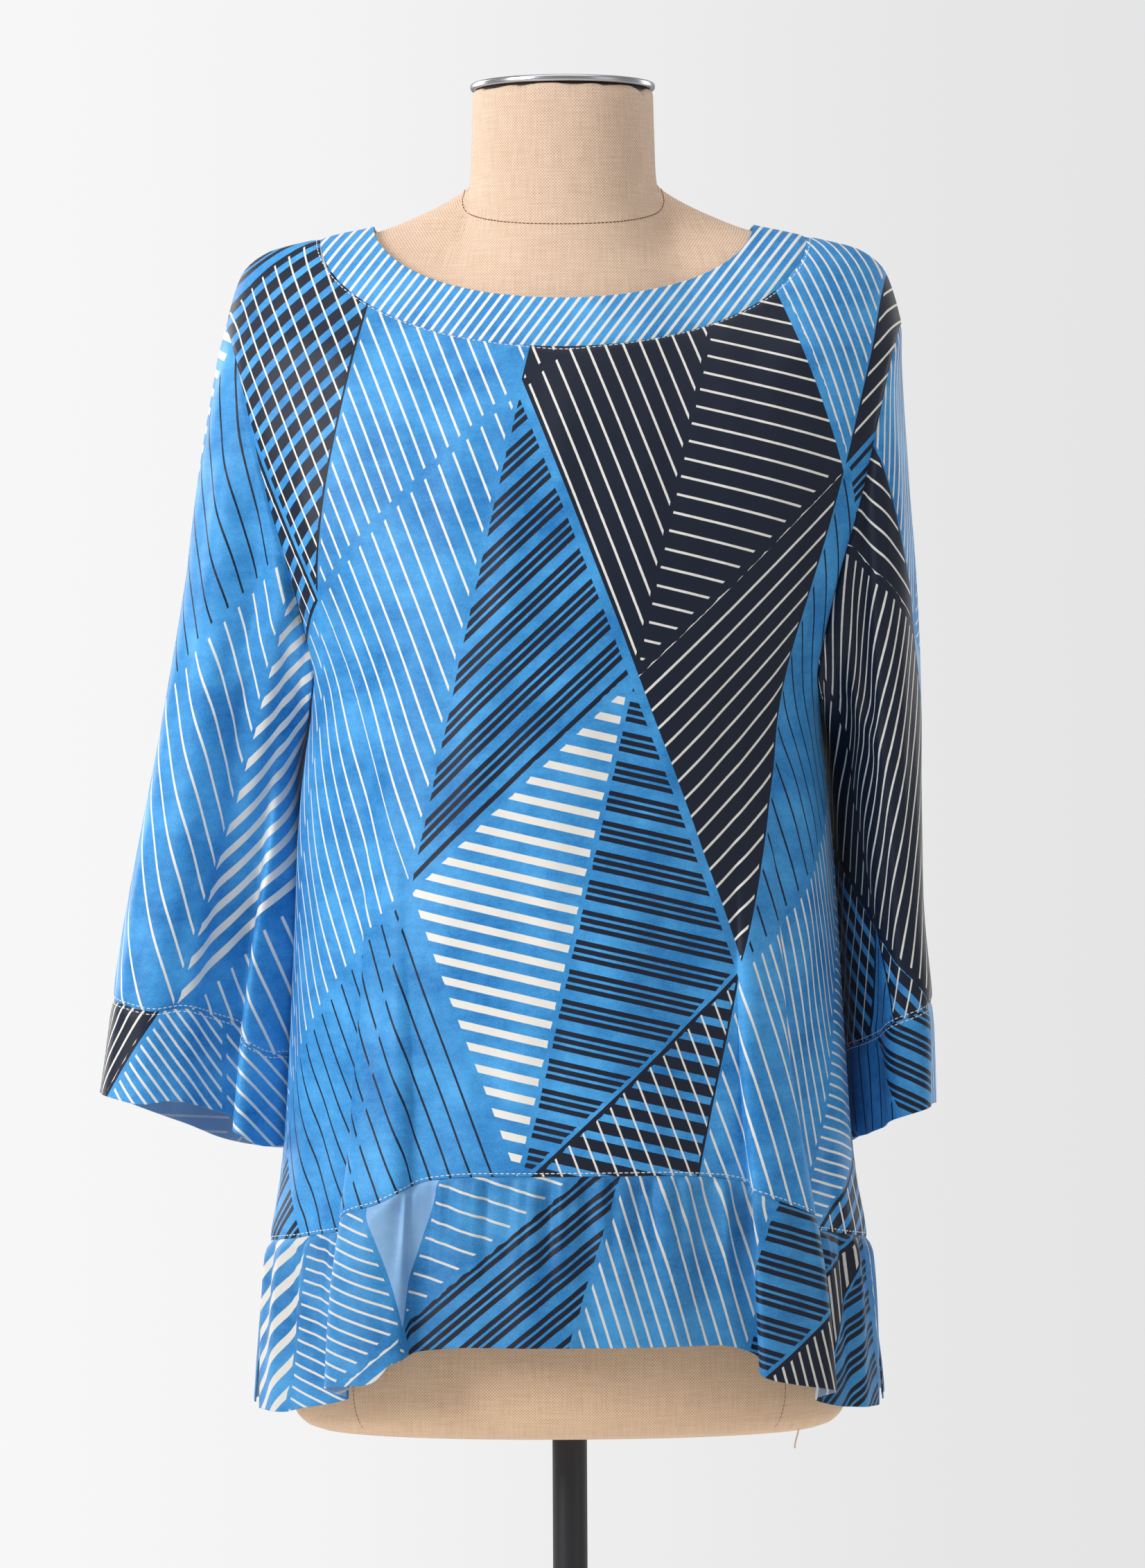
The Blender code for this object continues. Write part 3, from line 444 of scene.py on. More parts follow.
# Colours
BLUE_DEEP = (0.006, 0.165, 0.470, 1)
BLUE_LIGHT = (0.075, 0.390, 0.790, 1)
BLUE_PALE = (0.210, 0.450, 0.800, 1)
BLUE_PALEST = (0.340, 0.570, 0.860, 1)
NAVY = (0.0040, 0.0090, 0.0260, 1)
CREAM = (0.800, 0.780, 0.720, 1)
WHITE_THREAD = (0.780, 0.830, 0.880, 1)
REVERSE = (0.420, 0.530, 0.700, 1)
LINEN_DARK = (0.420, 0.255, 0.150, 1)
LINEN_LIGHT = (0.940, 0.715, 0.550, 1)
PAINTED_BOUNCE_DARK = (0.440, 0.240, 0.115, 1)  # painted bounce light: the linen is drawn warmer low down, as warm light bounced under the shirt makes it
PAINTED_BOUNCE_LIGHT = (0.970, 0.690, 0.465, 1)
PAINTED_BOUNCE_FROM, PAINTED_BOUNCE_AT = 1.10, 0.66  # heights where that starts and is full
BROWN_THREAD = (0.170, 0.070, 0.035, 1)
TAN_THREAD = (0.420, 0.260, 0.160, 1)
STEEL = (0.560, 0.570, 0.590, 1)
BLACK_PAINT = (0.012, 0.013, 0.016, 1)
BLACK_WORN = (0.022, 0.023, 0.027, 1)
# painted shadow: the neck's core is as dark as the shade in the gap under the neck plate
CORE_SHADOW = (0.018, 0.014, 0.012, 1)
FLOOR = (0.660, 0.660, 0.664, 1)
FLOOR_GLOW = 0.30  # light that the studio sends back from the floor

# The print: a lattice of tilted diamonds, each half hatched in its own way
BAND_TONE_AND_SHADE = 0.80  # the hem band is a little darker: partly its own tone, partly painted shade, as it faces down from the lamps
DIAMOND_WIDTH = 0.214
DIAMOND_HEIGHT = 0.318
PRINT_TILT = 13.0
PRINT_SEED = 32
HATCH_EDGE = 0.0003  # over which the ink of a line fades out
HATCH_WOBBLE = 0.0003
HAIRLINE_PITCHES, HAIRLINE_WIDTH = (0.0056, 0.0126), 0.0015
# Pitch and width of the other lines; bars stand in threes
BARS, STRIPES = (0.0046, 0.0030), (0.0118, 0.0046)
CROSSING, NAVY_LINES = (0.0105, 0.0012), (0.0125, 0.0014)
NECKBAND_STRIPES = (0.0056, 0.0018)
SWAPPED_OVER, LEVEL_OVER = 0.5, 0.72  # lots over which hatching runs the other way, or level
RIBBON_WIDTH, RIBBON_OVER = 0.016, 0.45
CLOTH_THREAD, LINEN_THREAD = 0.00045, 0.00095


def smooth_table(rows):
    """A function of the first column that reads the others off a smooth curve through the rows."""
    rows = sorted(rows)
    keys = np.array([row[0] for row in rows])
    values = np.array([row[1:] for row in rows])
    steps = np.diff(values, axis=0) / np.diff(keys)[:, None]
    slopes = np.zeros_like(values)
    slopes[0], slopes[-1] = steps[0], steps[-1]
    before, after = steps[:-1], steps[1:]
    agree = before * after > 0
    total = np.where(agree, before + after, 1.0)
    slopes[1:-1] = np.where(agree, 2 * before * after / total, 0.0)
    kind = type(rows[0])

    def read(key):
        key = np.clip(np.asarray(key, float), keys[0], keys[-1])
        index = np.clip(np.searchsorted(keys, key, side="right") - 1, 0, len(keys) - 2)
        span = (keys[index + 1] - keys[index])[..., None]
        t = (key - keys[index])[..., None] / span
        found = (
            (1 + 2 * t) * (1 - t) ** 2 * values[index]
            + t * (1 - t) ** 2 * span * slopes[index]
            + t * t * (3 - 2 * t) * values[index + 1]
            + t * t * (t - 1) * span * slopes[index + 1]
        )
        return kind(key, *np.moveaxis(found, -1, 0))

    return read


def shared_rows(rows):
    """Rows keyed by their share of the way down a list, 0 the first and 1 the last."""
    kind = namedtuple("SharedRow", ("share",) + rows[0]._fields)
    return [kind(index / (len(rows) - 1), *row) for index, row in enumerate(rows)]


def ease(value, low, high):
    """0 at low, 1 at high, and smooth between; low may be above high."""
    t = np.clip((value - low) / (high - low), 0.0, 1.0)
    return t * t * (3 - 2 * t)


read_cloth_section = smooth_table(CLOTH_SECTIONS)
form_section = smooth_table(FORM_SECTIONS)
armhole_row = smooth_table(ARMHOLE)
front_rise = smooth_table(FRONT_RISE)
sleeve_row = {arm: smooth_table(shared_rows(rows)) for arm, rows in SLEEVES.items()}


def cloth_section(height):
    """A section of the body, averaged over a little height where the cloth hangs free."""
    height = np.asarray(height, float)
    spread = SECTION_SOFTNESS * ease(height, SOFT_BELOW + 0.04, SOFT_BELOW - 0.04)
    weights = np.array([1, 2, 3, 2, 1]) / 9
    found = [read_cloth_section(height + spread * k) for k in (-1, -0.5, 0, 0.5, 1)]
    return Section(*(sum(w * part for w, part in zip(weights, column)) for column in zip(*found)))


def unit(vectors):
    return vectors / np.maximum(np.linalg.norm(vectors, axis=-1, keepdims=True), 1e-9)


def stacked(*parts):
    return np.stack(np.broadcast_arrays(*parts), axis=-1)


def oval(x, half_width, depth):
    """Depth of an oval at x, and 0 outside it."""
    return depth * np.maximum(0.0, 1 - np.abs(x / half_width) ** OVAL_POWER) ** (1 / OVAL_POWER)


def depth_at(section, x, side):
    """Y of a torso section at x, on its front or its back."""
    wide = oval(x, section.half_width, section.front if side == FRONT else section.back)
    round_depth = section.round_front if side == FRONT else section.round_back
    near_neck = oval(x, section.round_half_width, round_depth)
    return side * (wide**JOIN_POWER + near_neck**JOIN_POWER) ** (1 / JOIN_POWER)


def edge_heights(side, across):
    """Heights of the hem-band seam and of the hem, which curve up to the middle."""
    smooth = np.maximum(0.0, np.cos(math.pi / 2 * across)) ** RISE_POWER
    stepped = front_rise(across)
    seam, hem = (stepped.seam, stepped.hem) if side == FRONT else (smooth, smooth)
    return SEAM_SIDE + SEAM_RISE[side] * seam, HEM_SIDE + HEM_RISE[side] * hem


def side_half_width(height):
    """Half width of a body panel at its side seam, armhole or shoulder seam."""
    plain, underarm = cloth_section(height).half_width, armhole_row(UNDERARM).half_width
    blend = ease(height, UNDERARM - UNDERARM_BLEND, UNDERARM + UNDERARM_BLEND)
    above = np.where(height < SHOULDER_TIP, armhole_row(height).half_width, plain)
    return np.where(height > UNDERARM, above, plain + blend * (underarm - plain))


def body_base(side, across, up):
    """A point of a body panel before its folds. across runs from -1 to 1 between the side seams,
    and up from 0 at the hem-band seam to 1 at the neckline and shoulder."""
    low, _ = edge_heights(side, across)
    dip = np.maximum(0.0, np.cos(math.pi / 2 * across)) ** (1 + DIP_SHARPENING * (1 - up))
    height = low + (NECK_SEAM_TOP - low) * up - NECK_SEAM_DROP[side] * dip * up**DIP_POWER
    edge_height = SEAM_SIDE + (NECK_SEAM_TOP - SEAM_SIDE) * up
    up_armhole = np.clip((edge_height - UNDERARM) / (SHOULDER_TIP - UNDERARM), 0.0, 1.0)
    cut = ARMHOLE_CUT * np.sin(math.pi * up_armhole) ** ARMHOLE_CUT_POWER
    turn = math.pi / 2 * (1 - cut)
    x = side_half_width(edge_height) * np.sin(turn * across) / np.sin(turn)
    return stacked(x, depth_at(cloth_section(height), x, side), height)


def band_base(side, across, up):
    """A point of a hem band before its folds; up is 0 at the hem and 1 at its seam."""
    seam, hem = edge_heights(side, across)
    height = hem + (seam - hem) * up
    edge_height = HEM_SIDE + (SEAM_SIDE - HEM_SIDE) * up
    x = cloth_section(edge_height).half_width * np.sin(math.pi / 2 * across)
    y = depth_at(cloth_section(height), x, side)
    tuck = SLIT_TUCK[side] * (1 - up) * np.abs(across) ** SLIT_REACH
    return stacked(x - np.copysign(tuck, across), y, height)


def neckband_surface(side, across, up):
    """A point of the neckband; up is 0 at its seam and 1 at the neck edge."""
    turn = math.pi / 2 * across
    half_width = NECK_SEAM_HALF_WIDTH + (NECK_EDGE_HALF_WIDTH - NECK_SEAM_HALF_WIDTH) * up
    seam = NECK_SEAM_TOP - NECK_SEAM_DROP[side] * np.cos(turn)
    edge = NECK_EDGE_TOP - NECK_EDGE_DROP[side] * np.cos(turn)
    height = seam + (edge - seam) * up
    widest = cloth_section(NECK_SEAM_TOP + (NECK_EDGE_TOP - NECK_SEAM_TOP) * up).half_width
    x = np.minimum(half_width, widest) * np.sin(turn)
    return stacked(x, depth_at(cloth_section(height), x, side), height)


def gather(side, across, height):
    """How far the small gathers of a hem band stand out, full just under its seam."""
    seam, hem = edge_heights(side, across)
    share = (seam - height) / (seam - hem)
    strength = ease(share, 0.0, 0.10) * (1 - 0.75 * ease(share, 0.15, 1.0))
    drift = GATHER_DRIFT * np.sin(GATHER_DRIFT_TURNS * math.tau * across)
    large = GATHER_HEIGHT * np.cos(math.pi * (GATHERS[side] * across + drift))
    fine_strength = ease(share, 0.0, 0.05) * (1 - ease(share, 0.05, 0.75))
    fine_strength = fine_strength * (1 - 0.6 * ease(np.abs(across), *CALMER_SIDES))
    fine = 0.0
    for turns, tall, phase in FINE_GATHERS:
        wander = 0.8 * np.sin(5.0 * across + phase) + 0.9 * share * np.sin(9.0 * across + phase)
        fine = fine + tall * np.cos(math.pi * turns * across + phase + wander)
    return strength * large + fine_strength * fine


def fold_shift(side, across, height):
    """How far the folds move a body point: outwards, and sideways in shares of a half panel."""
    outwards = sideways = 0.0
    for fold in FOLDS[side]:
        lowered = ease(height, fold.start, HEM_SIDE)
        place = fold.at_start + (fold.at_hem - fold.at_start) * lowered
        t = (across - place) / fold.half_width
        swell = np.exp(-(t**4)) * lowered
        outwards = outwards + fold.height * swell
        spread = np.where(t < 0, fold.spread_minus, fold.spread_plus)
        sideways = sideways + spread * fold.half_width * t * swell
    return outwards, sideways


def hung(base, side, across, share):
    """The points that base gives, moved by the body's folds, and the way out of the cloth."""
    height = base(side, across, share)[..., 2]
    outwards, sideways = fold_shift(side, across, height)
    points = base(side, np.clip(across + sideways, -1.0, 1.0), share)
    points[..., 2] = height
    step = 0.002
    along = base(side, np.minimum(across + step, 1.0), share)
    along = along - base(side, np.maximum(across - step, -1.0), share)
    out = side * unit(stacked(-along[..., 1], along[..., 0], 0.0))
    return points + out * outwards[..., None], out


def body_surface(side, across, up):
    return hung(body_base, side, across, up)[0]


def ungathered_band(side, across, up):
    return hung(band_base, side, across, up)[0]


def band_surface(side, across, up):
    points, out = hung(band_base, side, across, up)
    return points + out * gather(side, across, points[..., 2])[..., None]


def armhole_point(arm, side, around):
    """A point of the armhole seam; around is 0 at the shoulder tip and 180 degrees underarm."""
    middle, half = (SHOULDER_TIP + UNDERARM) / 2, (SHOULDER_TIP - UNDERARM) / 2
    height = middle + half * np.cos(np.radians(around))
    x = side_half_width(height)
    return stacked(arm * x, depth_at(cloth_section(height), x, side), height)


def sleeve_oval(arm, row, around):
    """A point of a plain sleeve section, around degrees from its outer point by the front."""
    outward = (1 + np.cos(np.radians(around))) / 2
    forward = np.sin(np.radians(around))
    x = row.inner + (row.outer - row.inner) * outward - row.tuck * np.maximum(0.0, -forward)
    y = row.inner_back + (row.outer_back - row.inner_back) * outward
    y = y - forward * np.where(forward > 0, row.front, row.back)
    z = row.inner_height + (row.outer_height - row.inner_height) * outward**LIFT_POWER
    return stacked(arm * x, y, z)


def beside_body(points):
    """The points moved outwards, where they must be, to lie against the side of the body."""
    x, y, height = np.moveaxis(points, -1, 0)
    section = cloth_section(height)
    depth = np.where(y < 0, section.front, section.back)
    inside = np.maximum(0.0, 1 - (np.abs(y) / depth) ** OVAL_POWER) ** (1 / OVAL_POWER)
    room = BODY_ROOM * ease(height, UNDERARM, UNDERARM - ROOM_FADE)
    least = section.half_width * inside + room
    over = np.abs(x) - least
    pushed = np.copysign(least + (over + np.hypot(over, 2 * ROOM_SOFTNESS)) / 2, x)
    free = (height >= UNDERARM) | (np.abs(y) >= depth)
    return stacked(np.where(free, x, pushed), y, height)


def sleeve_base(arm, around, share):
    """A sleeve point before its folds: the armhole's own shape melts into plain ovals."""
    points = sleeve_oval(arm, sleeve_row[arm](share), around)
    folded = np.minimum(around, 360 - around)
    in_front = (around < 180)[..., None]
    seam = np.where(
        in_front, armhole_point(arm, FRONT, folded), armhole_point(arm, BACK, folded)
    )
    first = sleeve_oval(arm, sleeve_row[arm](np.zeros_like(share)), around)
    points = points + (1 - ease(share, 0.0, MELTED_AT))[..., None] * (seam - first)
    points[..., 2] -= BACK_DROP * ease(share, 0.2, 1.0) * points[..., 1]
    return np.where((share > 0)[..., None], beside_body(points), points)


def sleeve_surface(arm, around, share):
    """A point of a sleeve or its cuff, with its folds."""
    step = 1.0
    points = sleeve_base(arm, around, share)
    along = sleeve_base(arm, (around + step) % 360, share)
    along = along - sleeve_base(arm, (around - step) % 360, share)
    along = unit(along * (1, 1, 0))
    out = arm * stacked(-along[..., 1], along[..., 0], 0.0)
    for fold in SLEEVE_FOLDS[arm]:
        t = (around - fold.around) / fold.half_width
        power = 8 if abs(fold.lean) > STEEP_LEAN else 4
        swell = np.exp(-(t**power) / 2) * ease(share / CUFF_SEAM_SHARE, fold.start, fold.full)
        shift = out * fold.height + along * fold.lean - np.array([0, 0, fold.drop])
        points = points + shift * swell[..., None]
    return points


def spread_by(density, fine, count):
    """Places over the span of fine with count steps, closer together where density is high."""
    total = np.concatenate([[0], np.cumsum((density[1:] + density[:-1]) / 2)])
    return np.interp(even(count), total / total[-1], fine)


def crowded(side):
    """Places across a panel, closer together where the folds turn."""
    fine = np.linspace(-1, 1, 1601)
    density = np.ones_like(fine)
    for fold in FOLDS[side]:
        overlaps = max(fold.spread_minus, fold.spread_plus) > OVERLAPPING
        reach = 1.35 * fold.half_width
        density += (2.0 if overlaps else 0.3) * np.exp(-(((fine - fold.at_hem) / reach) ** 4))
    return spread_by(density, fine, COLUMNS[side])


def even(count):
    return np.linspace(0, 1, count + 1)


def beside_edges(shares, length):
    """The shares with more of them close to 0 and 1, where the cloth turns in at a seam."""
    extra = np.array(EDGE_ROWS) / length
    kept = shares[1:-1]
    kept = kept[(kept > extra[-1] * 1.3) & (kept < 1 - extra[-1] * 1.3)]
    return np.concatenate([[0.0], extra, kept, 1 - extra[::-1], [1.0]])


def body_rows():
    """Shares of the height of a body panel's side for its rows."""
    low = np.linspace(SEAM_SIDE, UNDERARM, ROWS_BELOW_UNDERARM + 1)
    arm = np.linspace(UNDERARM, SHOULDER_TIP, ROWS_ARMHOLE + 1)[1:]
    slope = np.sin(np.linspace(0, math.pi / 2, ROWS_SHOULDER + 1)[1:])
    top = SHOULDER_TIP + (NECK_SEAM_TOP - SHOULDER_TIP) * slope
    return (np.concatenate([low, arm, top]) - SEAM_SIDE) / (NECK_SEAM_TOP - SEAM_SIDE)


def torso_grid(surface, side, places, shares):
    """Rows of points from low to high, each from left to right as seen from outside."""
    ordered = places if side == FRONT else places[::-1]
    across, share = np.meshgrid(ordered, shares)
    return surface(side, across, share)


def sleeve_grid(arm, top, bottom, shares):
    """Rows of points round a sleeve from the bottom up, from left to right as seen from outside,
    starting and ending at the underarm and closer together where a fold turns."""
    fine = np.linspace(-180, 180, 1441)
    density = np.ones_like(fine)
    for fold in SLEEVE_FOLDS[arm]:
        if abs(fold.lean) > STEEP_LEAN:
            edge = fold.around - fold.half_width
            density += 4.0 * np.exp(-(((fine - edge) / 12) ** 2))
    arounds = spread_by(density, fine, SLEEVE_COLUMNS)[::-arm]
    around, share = np.meshgrid(arounds % 360, bottom + (top - bottom) * shares)
    return sleeve_surface(arm, around, share), np.meshgrid(arounds, shares)[0]


def steps_along(grid, axis):
    """Distance along each row or column of a grid, from its start."""
    steps = np.linalg.norm(np.diff(grid, axis=axis), axis=-1)
    return np.concatenate([np.zeros_like(np.take(steps, [0], axis)), steps.cumsum(axis)], axis)


def surface_normals(grid, closed):
    """The way out of the cloth at each point of a grid."""
    wide = np.concatenate([grid[:, -2:-1], grid, grid[:, 1:2]], axis=1) if closed else grid
    across = np.gradient(wide, axis=1)
    if closed:
        across = across[:, 1:-1]
    normals = np.cross(across, np.gradient(grid, axis=0))
    if not closed:
        normals[:, 0], normals[:, -1] = normals[:, 1], normals[:, -2]
    return unit(normals)


def round_sleeve(degrees):
    """Metres round a sleeve from its outer point, positive by way of the front."""
    return ((degrees + 180) % 360 - 180) / 360 * SLEEVE_GIRTH


def creases_of(name):
    """A piece's creases in metres, those of a sleeve with their degrees turned into metres."""
    for row in CREASES.get(name, []):
        crease = Crease(*(value / 1000 for value in row))
        if name.startswith("sleeve"):
            crease = crease._replace(from_a=round_sleeve(row[0]), to_a=round_sleeve(row[2]))
        yield crease


def crease_relief(name, a, b):
    """How far the listed creases of a piece stand out at points a, b."""
    relief = np.zeros_like(a)
    for crease in creases_of(name):
        start = np.array([crease.from_a, crease.from_b])
        end = np.array([crease.to_a, crease.to_b])
        length = np.linalg.norm(end - start)
        way = (end - start) / length
        t = ((a - start[0]) * way[0] + (b - start[1]) * way[1]) / length
        bowed = crease.bow * 4 * np.clip(t, 0, 1) * (1 - np.clip(t, 0, 1))
        off = (b - start[1]) * way[0] - (a - start[0]) * way[1] - bowed
        ends = ease(t, -0.12, 0.30) * ease(t, 1.12, 0.62)
        relief += crease.height * ends * np.exp(-((off / crease.half_width) ** 2))
    return relief


def uneven(points):
    """The slow unevenness of cloth that hangs, less where it lies on the shoulders."""
    x, y, z = np.moveaxis(points, -1, 0)
    relief = np.zeros_like(x)
    for along_x, along_y, along_z, tall, phase in WAVES:
        relief += tall * np.sin(math.tau * (along_x * x + along_y * y + along_z * z) + phase)
    return relief * (1 - 0.7 * ease(z, *CALM_ABOVE))


def finished_grid(grid, seams, creased, closed=False):
    """The grid with its creases, its unevenness, and its seams drawn in. seams names the edges
    that are sewn, with how far each is drawn back."""
    calm, dip = np.ones(grid.shape[:2]), np.zeros(grid.shape[:2])
    for edge in seams:
        axis, at, _ = EDGES[edge]
        steps = steps_along(grid, axis)
        away = steps if at == 0 else np.take(steps, [-1], axis) - steps
        calm *= ease(away, *CALM_BESIDE_SEAM)
        dip = np.maximum(dip, np.exp(-((away / SEAM_DIP_REACH) ** 2)))
    relief = (uneven(grid) + creased) * calm - SEAM_DIP * dip
    made = grid + surface_normals(grid, closed) * relief[..., None]
    for edge, pull in seams.items():
        axis, at, beside = EDGES[edge]
        lines = np.moveaxis(made, axis, 0)
        lines[at] += unit(lines[beside] - lines[at]) * pull
    return made


def on_the_body(side, x, z):
    """How far round the body from its middle a point is, and how far up the slope of its front or
    back."""
    places = np.arange(0.0, PLACES_REACH, PLACE_STEP)
    heights = np.arange(HEM_SIDE - 0.02, HEIGHTS_TOP, HEIGHT_STEP)
    sections = cloth_section(heights[:, None])
    depths = depth_at(sections, np.minimum(places, sections.half_width * 0.96), side)
    level = np.hypot(PLACE_STEP, np.diff(depths, axis=1)).cumsum(axis=1)
    sloped = np.hypot(HEIGHT_STEP, np.diff(depths, axis=0)).cumsum(axis=0)
    column = np.clip(np.abs(x) / PLACE_STEP, 0, len(places) - 1.001)
    row = np.clip((z - heights[0]) / HEIGHT_STEP, 0, len(heights) - 1.001)
    i, j = row.astype(int), column.astype(int)
    p, q = row - i, column - j

    def read(table):
        near = table[i, j] * (1 - q) + table[i, j + 1] * q
        return near * (1 - p) + (table[i + 1, j] * (1 - q) + table[i + 1, j + 1] * q) * p

    return (
        np.copysign(read(np.pad(level, ((0, 0), (1, 0)))), x),
        read(np.pad(sloped, ((1, 0), (0, 0)))),
    )


def body_places(side, grid):
    """Metres across the flat cloth from the middle of a body piece, and up it."""
    along = steps_along(grid * (1, 1, 0), 1)
    u = along - along[:, along.shape[1] // 2][:, None]
    turned, _ = on_the_body(side, grid[..., 0], grid[..., 2])
    _, v = on_the_body(side, np.full_like(u, UP_AT), grid[..., 2])
    return u + ease(grid[..., 2], *ON_LEVEL_FROM) * (turned * -side - u), v


def sleeve_places(grid, around):
    """Metres across the flat cloth from the outer line of a sleeve, and up it."""
    return around / 360 * SLEEVE_GIRTH, grid[:1, :, 2] + steps_along(grid, 0)


def on_the_print(name, u, v):
    """Where points of a piece lie on the printed cloth that it is cut from."""
    cut = CUTS[name]
    turn = math.radians(cut.print_turn)
    return stacked(
        cut.print_x + u * math.cos(turn) - v * math.sin(turn),
        cut.print_y + u * math.sin(turn) + v * math.cos(turn),
    )


def deselect_everything():
    for obj in list(bpy.context.selected_objects):
        obj.select_set(False)


def new_piece(add, name, looks, slot, **sizes):
    """A primitive, added, named, and given its finishes and its body."""
    deselect_everything()
    add(**sizes)
    piece = bpy.context.object
    piece.name = piece.data.name = name
    for finish in looks:
        piece.data.materials.append(finish)
    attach(piece, "root")
    return piece


@contextmanager
def editing():
    """Edit mode with the whole mesh selected."""
    bpy.ops.object.mode_set(mode="EDIT")
    bpy.ops.mesh.select_all(action="SELECT")
    yield
    bpy.ops.object.mode_set(mode="OBJECT")


def settle(piece):
    """Puts a piece's place in its mesh."""
    deselect_everything()
    piece.select_set(True)
    bpy.context.view_layer.objects.active = piece
    bpy.ops.object.transform_apply(location=True, rotation=True, scale=True)


def grid_piece(name, grid, places, places_name, looks, slot):
    """A flat grid moved to the rows of points, which lie at the places on their flat cloth."""
    rows, columns = grid.shape[:2]
    sizes = {"x_subdivisions": columns - 1, "y_subdivisions": rows - 1, "size": 1}
    add = bpy.ops.mesh.primitive_grid_add
    piece = new_piece(add, name, looks, slot, calc_uvs=True, **sizes)
    mesh = piece.data
    mesh.vertices.foreach_set("co", grid.reshape(-1).astype(np.float32))
    corners = np.zeros(len(mesh.loops), int)
    mesh.loops.foreach_get("vertex_index", corners)
    flat = places.reshape(-1, 2)[corners]
    mesh.uv_layers.active.name = places_name
    mesh.uv_layers.active.uv.foreach_set("vector", flat.reshape(-1).astype(np.float32))
    mesh.update()
    mesh.shade_smooth()
    return piece


def sheet_of_cloth(name, grid, places, closed, looks, slot):
    """A sheet that hangs where the grid lies, thickened, with its solid hidden."""
    piece = grid_piece(f"{name}_cloth", grid, places, "Print", looks, slot)
    if closed:
        with editing():
            bpy.ops.mesh.remove_doubles(threshold=JOINED_WITHIN)
    wall = piece.modifiers.new("Cloth", "SOLIDIFY")
    wall.thickness = CLOTH
    wall.offset = 0
    wall.material_offset = 1
    wall.material_offset_rim = 0
    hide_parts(name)


def line_beside(grid, edge, away, closed):
    """Points along an edge of a piece and away from it, and the way out of the cloth at each."""
    order = slice(None) if edge == "bottom" else slice(None, None, -1)
    ordered, normals = grid[order], surface_normals(grid, closed)[order]
    lengths = steps_along(ordered, 0)

    def read(values):
        return np.array([
            [np.interp(away, lengths[:, column], values[:, column, k]) for k in range(3)]
            for column in range(grid.shape[1])
        ])

    return read(ordered), unit(read(normals))


def evenly(line, outs, pitch):
    """Places a pitch apart along a line, with the way along it and the way out."""
    reach = np.concatenate([[0], np.linalg.norm(np.diff(line, axis=0), axis=-1).cumsum()])
    count = max(2, int(reach[-1] / pitch))
    spots = (np.arange(count) + 0.5) * reach[-1] / count

    def at(values, where):
        return np.stack([np.interp(where, reach, values[:, k]) for k in range(3)], axis=-1)

    ways = unit(at(line, spots + pitch / 3) - at(line, spots - pitch / 3))
    return at(line, spots), ways, unit(at(outs, spots))


def stitches(name, lines, raised, size, pitch, finish, slot):
    """A row of thread stitches along each line: one stitch is modelled, then laid along them."""
    add = bpy.ops.mesh.primitive_uv_sphere_add
    piece = new_piece(add, name, [finish], slot, segments=6, ring_count=4, radius=0.5)
    with editing():
        middle = {"center_override": (0, 0, 0)}
        bpy.ops.transform.rotate(value=math.pi / 2, orient_axis="Y", **middle)
        bpy.ops.transform.resize(value=size, **middle)
    one = np.array([vert.co for vert in piece.data.vertices])
    faces = [tuple(face.vertices) for face in piece.data.polygons]
    points, polygons, count = [], [], 0
    for line, outs in lines:
        for spot, way, out in zip(*evenly(line, outs, pitch)):
            side = unit(np.cross(out, way))
            out = np.cross(way, side)
            points.append(
                spot + out * raised + one[:, :1] * way + one[:, 1:2] * side + one[:, 2:] * out
            )
            polygons += [tuple(corner + count for corner in face) for face in faces]
            count += len(one)
    single, piece.data = piece.data, bpy.data.meshes.new(name)
    bpy.data.meshes.remove(single)
    piece.data.name = name
    piece.data.from_pydata(np.concatenate(points).tolist(), [], polygons)
    piece.data.materials.append(finish)
    piece.data.shade_smooth()


def operator(operation):
    return lambda signal, *others: signal.graph.math(operation, signal, *others)


class Signal:
    """What a node gives out. Arithmetic with it adds the nodes that work the result out."""

    def __init__(self, graph, socket):
        self.graph, self.socket = graph, socket

    def __rsub__(self, other):
        return self.graph.math("SUBTRACT", other, self)

    __add__, __sub__ = operator("ADD"), operator("SUBTRACT")
    __mul__, __truediv__ = operator("MULTIPLY"), operator("DIVIDE")
    __gt__, __lt__ = operator("GREATER_THAN"), operator("LESS_THAN")
    __abs__ = operator("ABSOLUTE")


